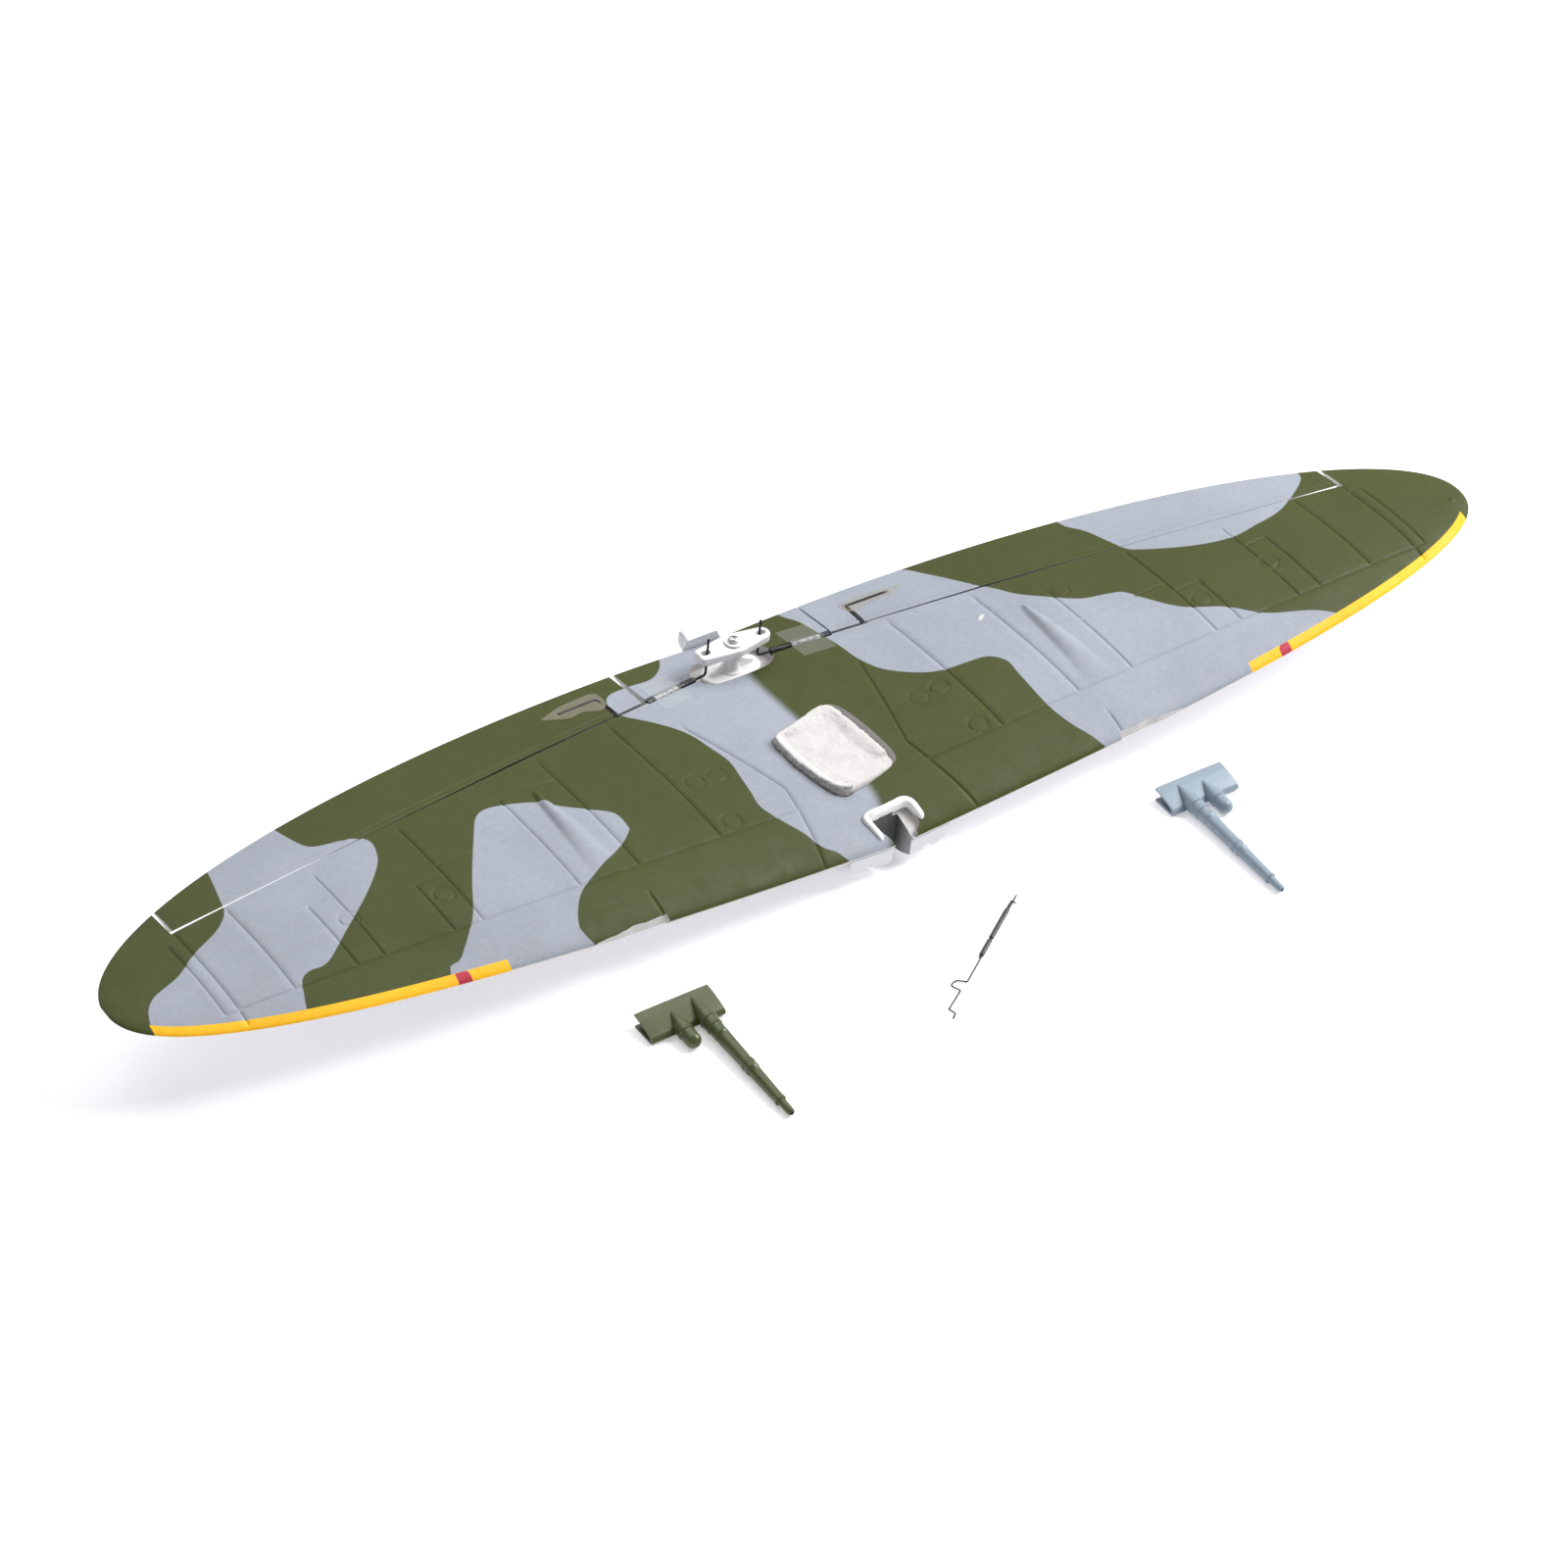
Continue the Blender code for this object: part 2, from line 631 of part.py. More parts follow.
def make_bellcrank():
    """The carrier in the pocket, the arm that turns on its post, and the screw and washer over it."""
    low, high = CARRIER_Z
    carrier = prism("bellcrank_carrier", stadium(PIVOT, CARRIER), low, high, white_plastic())
    post = prism("carrier_post", circle(PIVOT, POST_RADIUS, 24), low + 0.2, POST_TOP_Z)
    boolean(carrier, post, "UNION")
    for i, reach in enumerate((-1, 1)):
        web = [(0, -0.5), (reach * 6.5, -0.5), (reach * 6.5, 0.5), (0, 0.5)]
        outline = [(PIVOT[0] + x, PIVOT[1] + y) for x, y in web]
        rib = prism(f"carrier_rib_{i}", outline, low + 0.2, lambda x, y: 5.6 - 0.5 * abs(x))
        boolean(carrier, rib, "UNION")
    bore = prism("carrier_bore", circle(PIVOT, POST_BORE, 16), POST_TOP_Z - POST_BORE_DEPTH, 20.0)
    boolean(carrier, bore)

    rounds = circle((0, 0), ARM_HUB_RADIUS, 32) + circle((ARM_TIP_X, 0), ARM_TIP_RADIUS, 24)
    corner_x, corner_y, corner_radius = ARM_CORNER
    for turn in (-1, 1):
        rounds += circle((-corner_x, turn * corner_y), corner_radius, 16)
    outline = [(PIVOT[0] + x, PIVOT[1] + y) for x, y in hull(rounds)]
    arm = prism("bellcrank_arm", outline, ARM_BOTTOM_Z, ARM_TOP_Z, white_plastic())
    boolean(arm, prism("arm_bore", circle(PIVOT, PIVOT_BORE, 20), 0.0, 20.0))
    middle = (SLOT_INNER_X + SLOT_OUTER_X) / 2
    for label, side in (("left", 1), ("right", -1)):
        slot = stadium((PIVOT[0] + side * middle, PIVOT[1]), (SLOT_OUTER_X - SLOT_INNER_X, SLOT_WIDTH), 16)
        boolean(arm, prism(f"{label}_arm_slot", slot, 0.0, 20.0))
    recentre(arm, at(*PIVOT, ARM_BOTTOM_Z))

    washer = prism("pivot_washer", circle(PIVOT, WASHER_RADIUS, 28), *WASHER_Z, white_plastic())
    boolean(washer, prism("washer_bore", circle(PIVOT, POST_BORE, 16), 0.0, 20.0))

    head_low, head_high = SCREW_HEAD_Z
    profile = ((0.0, 0.15), (0.8, SCREW_SHANK_RADIUS), (head_low - SCREW_TIP_Z, SCREW_SHANK_RADIUS),
               (head_low - SCREW_TIP_Z + 0.01, SCREW_HEAD_RADIUS),
               (head_high - SCREW_TIP_Z - 0.35, SCREW_HEAD_RADIUS),
               (head_high - SCREW_TIP_Z, SCREW_HEAD_RADIUS * 0.7))
    tip = at(*PIVOT, SCREW_TIP_Z)
    bright = material("screw_steel", (0.55, 0.55, 0.57), 0.3, 1.0)
    screw = turned("pivot_screw", tip, Vector((0, 0, 1)), profile, bright, 20)
    for i, size in enumerate(((1.7, 0.34), (0.34, 1.7))):
        low_corner = (PIVOT[0] - size[0] / 2, PIVOT[1] - size[1] / 2, head_high - 0.4)
        high_corner = (PIVOT[0] + size[0] / 2, PIVOT[1] + size[1] / 2, head_high + 1.0)
        boolean(screw, box(f"screw_recess_{i}", low_corner, high_corner))


def hinge_sleeve(name, side, span, radius, bore, finish):
    """A tube round the hinge axis between two distances from the centre line."""
    start = at(*hinge_point(span[0], side))
    end = at(*hinge_point(span[1], side))
    length = (end - start).length / MM
    return turned(name, start, end - start, ((0.0, radius), (length, radius)), finish, SIDES, bore)


def make_torque_rods():
    black = material("shrink_sleeve", (0.03, 0.03, 0.032), 0.5)
    clear = material("bearing_tube", (0.75, 0.76, 0.74), 0.3)
    for label, side in (("left", 1), ("right", -1)):
        path = rounded_path([at(*p) for p in rod_points(side)], ROD_BEND * MM)
        wire(f"{label}_torque_rod", path, ROD_RADIUS, steel(), at(*hinge_point(HINGE_INNER.x, side)))
        hinge_sleeve(f"{label}_bearing_tube", side, TUBE_SPAN, TUBE_RADIUS, TUBE_BORE, clear)
        hinge_sleeve(f"{label}_inner_sleeve", side, INNER_SLEEVE_SPAN, SLEEVE_RADIUS, SLEEVE_BORE, black)
        hinge_sleeve(f"{label}_outer_sleeve", side, OUTER_SLEEVE_SPAN, SLEEVE_RADIUS, SLEEVE_BORE, black)


def make_tapes():
    """Clear tape that arches over each bearing tube and lies down on the skin on both sides."""
    film = material("clear_tape", (0.8, 0.82, 0.82), 0.15)
    middle = (TUBE_SPAN[0] + TUBE_SPAN[1]) / 2
    steps = 16
    for label, side in (("left", 1), ("right", -1)):
        rings = []
        for end in (-1, 1):
            x = middle + end * TAPE_LENGTH / 2
            axis = hinge_point(x)
            low, high = [], []
            for i in range(steps + 1):
                v = TAPE_WIDTH * (i / steps - 0.5)
                reach = TUBE_RADIUS + 0.35
                arch = axis.z + math.sqrt(max(reach**2 - v**2, 0.0)) if abs(v) < reach else -99.0
                y = axis.y + v
                z = max(skin_z(x, y) + TAPE_LIFT, arch)
                low.append(at(side * x, y, z))
                high.append(at(side * x, y, z + TAPE_THICKNESS))
            rings.append(low + high[::-1])
        loft(f"{label}_bearing_tape", rings, 30, film)


def clip_profile():
    """Side view of the clip as (distance behind its nose, height): an open C in one thin wall."""
    nose = CLIP_NOSE_Z
    upper = [(0.0, nose * 0.5), (0.25, nose * 0.85), (1.0, nose * 1.15), (3.2, nose + 0.9)]
    upper += [(5.8, CLIP_HEIGHT - 0.25), (CLIP_DEPTH, CLIP_HEIGHT)]
    lower = [(CLIP_DEPTH - 0.8, 0.0), (1.2, 0.0), (0.3, nose * 0.2)]
    inner_upper = [(CLIP_DEPTH, CLIP_HEIGHT - CLIP_WALL), (5.8, CLIP_HEIGHT - 0.3 - CLIP_WALL)]
    inner_upper += [(3.2, nose + 0.75 - CLIP_WALL), (1.5, nose * 1.02 - CLIP_WALL)]
    inner_lower = [(1.2, nose * 0.5), (1.6, CLIP_WALL), (CLIP_DEPTH - 0.8, CLIP_WALL)]
    return upper + inner_upper + inner_lower + lower


def make_cannon(label, place, inboard, finish):
    """A clip that snaps over the leading edge, with the long barrel inboard and a domed stub outboard."""
    x0, y0 = place
    name = f"{label}_cannon_fairing"
    ends = (x0 - CLIP_WIDTH / 2, x0 + CLIP_WIDTH / 2)
    rings = [[at(x, y0 + back, z - DATUM_Z) for back, z in clip_profile()] for x in ends]
    clip = loft(name, rings, 30, finish)
    base_z, muzzle_z = BARREL_AXIS_Z
    length = BARREL_PROFILE[-1][0]
    start = at(x0 + inboard * BARREL_OFFSET, y0, base_z - DATUM_Z)
    muzzle = at(x0 + inboard * BARREL_OFFSET, y0 - length, muzzle_z - DATUM_Z)
    boolean(clip, turned(f"{name}_barrel", start, muzzle - start, BARREL_PROFILE, finish, 16), "UNION")
    dome = [(STUB_PROFILE[-1][0] + STUB_DOME * math.sin(a), STUB_DOME * math.cos(a))
            for a in [0.5 * math.pi * i / 5 for i in range(1, 5)]]
    stub_start = at(x0 - inboard * STUB_OFFSET, y0, base_z - 0.3 - DATUM_Z)
    stub = turned(f"{name}_stub", stub_start, Vector((0, -1, -0.03)), STUB_PROFILE + tuple(dome), finish, 16)
    boolean(clip, stub, "UNION")
    recentre(clip, at(x0, y0, -DATUM_Z))


def bench(x, y, radius=WIRE_RADIUS):
    """World point of a wire's centre line where it lies on the bench."""
    return at(x, y, radius - DATUM_Z)


def make_pushrod():
    """Two wires side by side in two shrink sleeves: one with the adjusting loop and Z bend, one hooked."""
    lift = PUSHROD_SLEEVE_RADIUS[1]
    points = [bench(x, y, lift) for x, y in MAIN_WIRE]
    wire("pushrod_loop_wire", rounded_path(points, 1.3 * MM, 6), WIRE_RADIUS, steel())
    start = points[0]
    along = (points[1] - start).normalized()
    side, _ = frame_along(along)
    beside = start + side * (2 * WIRE_RADIUS + 0.12) * MM
    near, far = (beside + along * s * MM for s in HOOK_WIRE_SPAN)
    leg = near + (side - along * 0.4).normalized() * HOOK_LEG * MM
    wire("pushrod_hook_wire", rounded_path([leg, near, far], 0.5 * MM), WIRE_RADIUS, steel())
    wide, tall = PUSHROD_SLEEVE_RADIUS
    black = material("shrink_sleeve", (0.03, 0.03, 0.032), 0.5)
    middle = side * (WIRE_RADIUS + 0.06) * MM
    upright = Vector((0, 0, 1))
    for label, span in zip(("front", "rear"), SLEEVES):
        rings = []
        inner = []
        for distance in span:
            centre = start + middle + along * distance * MM
            turns = [2 * math.pi * i / SIDES for i in range(SIDES)]
            rings.append([centre + (side * wide * math.cos(a) + upright * tall * math.sin(a)) * MM for a in turns])
            bore = 0.17
            inner.append([centre + (side * (wide - bore) * math.cos(a) + upright * (tall - bore) * math.sin(a)) * MM
                          for a in turns])
        points_of = rings[0] + rings[1] + inner[1] + inner[0]
        faces = []
        for i in range(4):
            nxt = (i + 1) % 4
            for j in range(SIDES):
                k = (j + 1) % SIDES
                faces.append((i * SIDES + j, i * SIDES + k, nxt * SIDES + k, nxt * SIDES + j))
        name = f"pushrod_{label}_sleeve"
        add_object(name, mesh_from(name, points_of, faces, 40), black)


def main():
    clear_scene()
    notch = make_wing()
    make_belly(notch)
    make_saddle()
    make_rim()
    make_bellcrank()
    make_torque_rods()
    make_tapes()
    green = material("cannon_green", (0.10, 0.12, 0.035), 0.4)
    grey = material("cannon_grey", (0.30, 0.37, 0.43), 0.4)
    make_cannon("right", RIGHT_CANNON_AT, 1, green)
    make_cannon("left", LEFT_CANNON_AT, -1, grey)
    make_pushrod()


main()
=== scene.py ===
"""Looks for the foam warbird wing set: dense skins with moulded panel lines and camouflage, bare foam, the
aileron linkage and the loose pieces, each built round its CAD node. Lengths are millimetres from the wing
datum, the middle of the wing on its centre line; DATUM is where that stands in the frame.
"""

import json
from math import acos, asin, copysign, cos, exp, pi, radians, sin, sqrt, tan

import bpy
import numpy as np
from mathutils import Matrix, Vector, noise


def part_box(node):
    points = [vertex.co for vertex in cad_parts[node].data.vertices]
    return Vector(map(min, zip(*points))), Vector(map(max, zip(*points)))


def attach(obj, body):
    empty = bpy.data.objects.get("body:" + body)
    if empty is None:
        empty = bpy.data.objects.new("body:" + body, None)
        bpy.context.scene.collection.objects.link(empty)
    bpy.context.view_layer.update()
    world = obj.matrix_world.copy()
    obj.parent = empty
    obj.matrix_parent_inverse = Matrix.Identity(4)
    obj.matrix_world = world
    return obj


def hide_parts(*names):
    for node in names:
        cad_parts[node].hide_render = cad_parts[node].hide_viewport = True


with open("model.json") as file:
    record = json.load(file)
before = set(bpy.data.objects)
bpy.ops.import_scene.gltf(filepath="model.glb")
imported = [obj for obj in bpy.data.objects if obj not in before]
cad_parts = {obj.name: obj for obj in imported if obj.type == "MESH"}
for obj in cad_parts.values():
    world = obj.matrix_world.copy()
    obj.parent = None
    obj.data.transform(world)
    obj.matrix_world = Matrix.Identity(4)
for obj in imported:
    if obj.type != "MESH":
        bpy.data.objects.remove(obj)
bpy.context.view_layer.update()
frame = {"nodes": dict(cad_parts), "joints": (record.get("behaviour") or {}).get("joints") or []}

MM = 0.001
JOINTS = {joint["name"]: joint for joint in frame["joints"]}

# ---- Linkage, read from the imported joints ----
PIVOT = (0.0, 43.0)  # plan place of the bellcrank's pivot
ARM_Z = (8.0, 10.3)
DATUM = np.array(JOINTS["bellcrank_pivot"]["pos_m"]) / MM - np.array((*PIVOT, ARM_Z[0]))
HINGE_START = np.array(JOINTS["left_aileron_hinge"]["pos_m"]) / MM - DATUM
HINGE_AXIS = np.array(JOINTS["left_aileron_hinge"]["axis"])

# ---- Wing ----
HALF_SPAN = 205.0
TIP_SHARE = 0.9993
FRONT_CHORD, FRONT_POWER = 31.9, 2.6
REAR_CHORD, REAR_POWER = 55.6, 1.84
DIHEDRAL = radians(3.77)
ROOT_THICKNESS, TIP_THICKNESS = 0.101, 0.080
CAMBER, CAMBER_AT = 0.02, 0.4
EDGE_HALF_THICKNESS = 0.35

# ---- Ailerons ----
AILERON_X = (28.5, 178.6)
CUT = 0.55
HINGE_GAP_TOP, HINGE_GAP_BOTTOM, HINGE_WALL = 0.42, 2.3, 0.2
BEVEL_WIDTH, BEVEL_DEPTH = 1.3, 0.32
BEVEL_LINE, BEVEL_LINE_HALF_WIDTH, BEVEL_LINE_DEPTH = 2.15, 0.5, 0.22
WIDE_END_GAP = 0.45  # extra room at both ailerons' outer ends and the right one's inner end

# ---- Torque rods and their bearings ----
ROD_RADIUS = 0.33
ROD_TOP_Z = 14.4
ROD_ELBOW_X = 38.0
ROD_HEEL = (38.6, 47.2)
ROD_END = (50.5, 46.2)
ROD_BEND = 0.9
GROOVE_HALF_WIDTH = 0.68
TUBE_GROOVE_HALF_WIDTH = 1.2
TUBE = (17.6, 25.6, 0.85, 0.48)  # inner and outer x, radius and bore
INNER_SLEEVE = (11.8, 17.3, 0.72, 0.45)
OUTER_SLEEVE = (25.9, 28.1, 0.72, 0.45)
TAPE_SIZE, TAPE_LIFT, TAPE_THICKNESS = (9.0, 13.0), 0.3, 0.15
GLUE_OUTLINE = (
    (55.6, 46.3), (52.0, 47.8), (48.6, 49.0), (42.8, 49.9), (38.6, 50.2), (37.2, 49.2), (37.0, 46.8),
    (37.7, 43.9), (39.6, 42.4), (41.4, 42.6), (44.8, 43.9), (49.2, 43.2), (54.0, 45.2),
)
GLUE_MIDDLE = (43.5, 46.9)
# (share of the outline, height above the skin) from the edge to the middle
GLUE_LAYERS = ((1, -0.15), (1, 0.04), (0.97, 0.1), (0.9, 0.1), (0.7, 0.06), (0.4, 0.03), (0.05, 0.02))

# ---- Centre section ----
SADDLE_SEAT_Z, SADDLE_TOP_Z = 4.4, 9.0
SADDLE_OUTLINE = (
    (-10.7, 8.4), (-11.0, 4.0), (-10.8, -2.0), (-9.2, -9.8), (-7.4, -14.0), (-5.2, -15.2), (-3.0, -14.7),
    (3.0, -13.9), (9.4, -12.6), (10.9, -11.4), (11.1, -9.4), (10.7, 0.0), (9.9, 9.0), (9.2, 12.2),
    (7.8, 13.5), (5.6, 13.9), (-3.0, 11.5), (-9.2, 9.9),
)
RECESS_OUTLINE = (
    (-11.3, 8.6), (-11.7, 4.0), (-11.6, -2.2), (-9.9, -10.4), (-8.0, -14.6), (-5.6, -15.9), (-3.0, -15.3),
    (4.0, -13.9), (11.4, -11.7), (13.2, -9.6), (13.6, -5.4), (13.2, 4.4), (12.4, 11.2), (11.2, 14.4),
    (9.0, 15.6), (5.4, 15.2), (-3.0, 12.6), (-9.6, 10.7),
)
SADDLE_STEP = (-3.6, -8.6)  # the raised edge stops at this x along the front and this y down the right
SADDLE_RING = (-1.8, -3.7, 4.3)
NOTCH_BACK_Y = -24.6
NOTCH_OUTLINE = (
    (-5.3, NOTCH_BACK_Y), (-4.5, -27.2), (-2.9, -30.0), (-1.7, -32.0), (-1.4, -40.0), (3.5, -40.0),
    (3.4, NOTCH_BACK_Y),
)
# (y, right edge) of the low ledge beside the notch
LEDGE = ((-24.0, 6.9), (-26.5, 7.0), (-29.3, 6.9), (-30.2, 6.3), (-30.8, 5.2), (-33.0, 4.7))
LEDGE_DEPTH = 1.2
POCKET, POCKET_FLOOR_Z = (24.0, 10.6), 0.35
CARRIER, CARRIER_Z = (17.0, 7.2), (0.7, 1.7)
BELLY_TOP_Z, TONGUE_TOP_Z, BELLY_GAP = -1.05, 3.0, 0.04
BELLY_SECTIONS = (
    (-31.4, 15.0, -5.3), (-28.5, 17.2, -6.8), (-24.0, 19.0, -8.0), (-18.0, 19.8, -8.5), (-10.0, 20.0, -9.0),
    (30.0, 17.0, -9.0), (40.0, 13.8, -8.2), (49.0, 10.2, -6.8), (56.1, 6.6, -5.4),
)
TONGUE_SECTIONS = ((56.2, 4.8, -5.4), (58.2, 4.3, -2.9), (60.6, 4.3, -1.3))
CHEEK_X = 8.8  # the crease between the two lobes on each side of the notch

# ---- Moulded detail of the top skin ----
LINE_HALF_WIDTH, LINE_DEPTH = 0.55, 0.30
FRONT_LINE_Y = -14.8
FINE_BAND_Y = 23.2
SHORT_LINE_Y = 7.0
# (distance from the centre line, front end, rear end) of the chordwise lines
RIBS = ((178.0, -19.0, 15.0), (69.6, -30.2, -23.0)) + tuple((x, FRONT_LINE_Y, rear) for x, rear in (
    (43.0, 34.4), (67.0, 30.2), (84.0, 21.6), (111.5, 24.0), (119.5, 3.0), (138.7, 17.4), (146.0, 8.3),
    (163.0, 17.0), (181.6, 11.6)))
# (distance from the centre line at both ends, y) of the spanwise lines
SPANWISE = (
    (19.5, 181.6, FRONT_LINE_Y), (84.0, 111.5, SHORT_LINE_Y), (111.5, 119.5, 3.0), (138.7, 146.0, 8.3),
    (67.0, 84.0, 22.3), (69.6, 91.0, -23.0), (178.0, 181.6, 12.2),
)
ROOT_X = 22.9  # the grid column that leans along the root line
ROOT_LINE = ((27.2, 25.8), (18.6, -6.9), (20.0, -15.6), (23.3, -32.0))
HATCH_RADIUS = 2.55
HATCHES = ((37.4, 5.0), (30.8, 4.8), (37.6, -11.2), (115.3, -3.1), (139.9, -0.5))
LEFT_HATCHES = ((86.9, 20.0),)
TIP_LIGHT, TIP_LIGHT_HEIGHT = (199.4, -4.7, 1.1), 0.35
BLISTER_X, BLISTER_Y, BLISTER_HALF_WIDTH, BLISTER_HEIGHT = 75.0, (20.6, -15.5), 4.3, 1.5
SEAT_X, SEAT_Y = (68.8, 89.2), -30.2

# ---- Camouflage: plan outlines of the green areas and of the grey island, running past the wing's edges ----
GREEN_RIGHT_TIP = (
    (-158, 42), (-159, 33), (-162, 22), (-164, 16), (-169, 11), (-178, 6), (-185, 1), (-194, -3), (-198, -9),
    (-200, -20), (-216, -20), (-216, 42),
)
GREEN_RIGHT = (
    (-139, 52), (-137, 40), (-135, 31), (-133, 28), (-129, 27), (-123, 26), (-120, 23), (-121, 18),
    (-124, 13), (-132, 5), (-143, -4), (-152, -11), (-157, -11.5), (-160, -13), (-162, -17), (-164, -24),
    (-164, -42), (-14, -42), (-17, -31), (-21, -27), (-23, -22), (-26, -16), (-28, -10), (-27, -4), (-26, 2),
    (-25, 8), (-26, 15), (-27, 21), (-29, 26), (-33, 32), (-37, 37), (-38, 42), (-35, 47), (-28, 48),
    (-22, 48), (-18, 50), (-14, 55), (-12, 66), (-139, 66),
)
GREY_ISLAND = (
    (-130, -42), (-127, -25), (-123, -23), (-116, -16), (-112, -11), (-106, -1), (-98, 11), (-93, 18),
    (-89, 20), (-83, 19), (-76, 16), (-72, 12), (-67, 8), (-62, 3.5), (-62, -3), (-62, -3), (-67, -7),
    (-77, -12), (-84, -16), (-88, -20), (-91, -25), (-91, -28), (-88, -42),
)
GREEN_CENTRE = (
    (9, 66), (9, 54), (2, 40), (0.5, 13), (1.5, -15), (1, -42), (68, -42), (62.5, -30), (58.5, -22),
    (57, -14), (57.5, -2), (58, 4), (55, 8), (50, 9), (42, 10), (36, 13), (30, 19), (27.5, 26), (27, 33),
    (26, 42), (25, 49), (23, 54), (21, 66),
)
GREEN_LEFT = (
    (58, 60), (62, 50), (66, 43), (70, 36), (72, 33), (74, 30), (77, 25), (82, 20), (89, 14), (95, 12),
    (100, 10), (103, 5), (109, -3), (119, -9), (127, -16), (144, -24), (156, -42), (216, -42), (216, 45),
    (176, 36), (172, 25), (162, 18), (155, 15), (148, 14), (139, 13), (130, 15), (121, 19), (113, 24),
    (112, 27), (111, 30), (109, 38), (106, 44), (104, 60),
)
SOFT_EDGE_X = 7.0  # the sprayed edge along the centre line is soft, the others are masked
STRIPE_X, STRIPE_WIDTH = (112.5, 198.5), 2.25
MARK_X = (122.8, 126.4)

# ---- Cannon fairings ----
CLIP_WIDTH, CLIP_DEPTH, CLIP_HEIGHT, CLIP_WALL, CLIP_NOSE_Z = 21.0, 8.4, 3.7, 0.6, 2.0
BARREL_OFFSET, STUB_OFFSET = 4.6, 2.2
BARREL_AXIS_Z = (2.45, 1.35)
BARREL_PROFILE = (
    (-1.0, 2.3), (1.0, 2.36), (1.15, 2.42), (1.35, 2.42), (1.5, 2.2), (3.5, 2.14), (3.65, 2.22),
    (3.85, 2.22), (4.0, 2.0), (6.4, 1.95), (6.5, 2.01), (6.7, 2.01), (6.8, 1.93), (17.1, 1.72), (17.4, 1.9),
    (18.1, 1.92), (18.3, 1.74), (18.9, 1.72), (19.1, 1.84), (19.9, 1.84), (20.2, 1.62), (30.6, 1.36),
    (30.9, 1.5), (31.4, 1.48), (31.6, 1.06), (35.3, 1.0), (35.8, 0.9), (36.1, 0.55),
)
STUB_PROFILE = ((-1.0, 2.1), (1.5, 2.18), (1.65, 2.24), (1.85, 2.24), (2.0, 2.02), (4.6, 2.0))
STUB_DOME = 2.0
RIGHT_CANNON_AT, LEFT_CANNON_AT = (-77.0, -53.5), (83.6, -50.0)

# ---- Loose pushrod ----
WIRE_RADIUS = 0.2
MAIN_WIRE = (
    (20.4, -53.8), (-8.9, -73.0), (-11.2, -71.2), (-13.4, -72.0), (-12.2, -74.7), (-18.6, -78.6),
    (-18.0, -80.6), (-19.6, -81.7),
)
HOOK_WIRE_SPAN, HOOK_LEG = (2.6, 25.5), np.array((0.45, -1.25, 0.0))
SLEEVES = ((6.0, 17.8), (18.4, 24.8))
PUSHROD_SLEEVE_RADIUS = (0.66, 0.42)

# ---- Colours, linear ----
OLIVE = (0.048, 0.058, 0.010)
SEA_GREY = (0.288, 0.309, 0.356)
YELLOW = (0.86, 0.46, 0.010)
RED = (0.43, 0.030, 0.055)
UNDERSIDE = (0.60, 0.61, 0.64)
FOAM_WHITE = (0.57, 0.555, 0.54)

# ---- Camera and floor: azimuth, elevation and roll in degrees, the rest in metres except the lens ----
CAMERA_ANGLES = (-39.06, 40.69, 6.44)
CAMERA_AIM, CAMERA_DISTANCE, CAMERA_LENS = (-0.0125, 0.0155, 0.009), 1.261, 116.35
FLOOR_SIZE = 6.0


# ---- The wing's surface, on arrays ----


def edge_y(x, chord, power):
    share = np.minimum(np.abs(x) / HALF_SPAN, 1.0)
    return chord * (1 - share**power) ** (1 / power)


def front_y(x):
    return edge_y(x, -FRONT_CHORD, FRONT_POWER)


def back_y(x):
    return edge_y(x, REAR_CHORD, REAR_POWER)


def middle_and_half(x, y):
    """Height of the section's mean line, and half its thickness, at plan points."""
    x, y = np.broadcast_arrays(np.asarray(x, float), np.asarray(y, float))
    front = front_y(x)
    chord = np.maximum(back_y(x) - front, 1e-6)
    share = np.clip((y - front) / chord, 0.0, 1.0)
    thickness = ROOT_THICKNESS + (TIP_THICKNESS - ROOT_THICKNESS) * np.abs(x) / HALF_SPAN
    powers = (0.2969 * np.sqrt(share) - 0.1260 * share - 0.3516 * share**2
              + 0.2843 * share**3 - 0.1036 * share**4)
    ahead = CAMBER / CAMBER_AT**2 * (2 * CAMBER_AT * share - share**2)
    behind = CAMBER / (1 - CAMBER_AT) ** 2 * (1 - 2 * CAMBER_AT + 2 * CAMBER_AT * share - share**2)
    mean = np.where(share < CAMBER_AT, ahead, behind)
    edge = EDGE_HALF_THICKNESS * share * np.sqrt(chord / (FRONT_CHORD + REAR_CHORD))
    return np.abs(x) * tan(DIHEDRAL) + mean * chord, 5 * thickness * powers * chord + edge


def skin_z(x, y, side=1):
    middle, half = middle_and_half(x, y)
    return middle + side * half


def hinge_y(x):
    """Plan line of the hinge, carried on past both ends of the aileron."""
    return HINGE_START[1] + (np.abs(x) - HINGE_START[0]) * HINGE_AXIS[1] / HINGE_AXIS[0]


def hinge_point(x, side=1):
    return (HINGE_START + HINGE_AXIS * (x - HINGE_START[0]) / HINGE_AXIS[0]) * (side, 1, 1)


def segment_distance(x, y, start, end):
    run = np.subtract(end, start).astype(float)
    along = np.clip(((x - start[0]) * run[0] + (y - start[1]) * run[1]) / (run @ run), 0.0, 1.0)
    return np.hypot(x - start[0] - along * run[0], y - start[1] - along * run[1])


def line_distance(x, y):
    """Distance of plan points from the nearest moulded panel line or hatch ring."""
    across = np.abs(x)
    segments = [((rib, front), (rib, rear)) for rib, front, rear in RIBS]
    segments += [((inner, row), (outer, row)) for inner, outer, row in SPANWISE]
    found = [segment_distance(across, y, *ends) for ends in [*segments, *zip(ROOT_LINE, ROOT_LINE[1:])]]
    for aside, hatches in ((across, HATCHES), (x, LEFT_HATCHES)):
        found += [np.abs(np.hypot(aside - cx, y - cy) - HATCH_RADIUS) for cx, cy in hatches]
    return np.minimum.reduce(found)


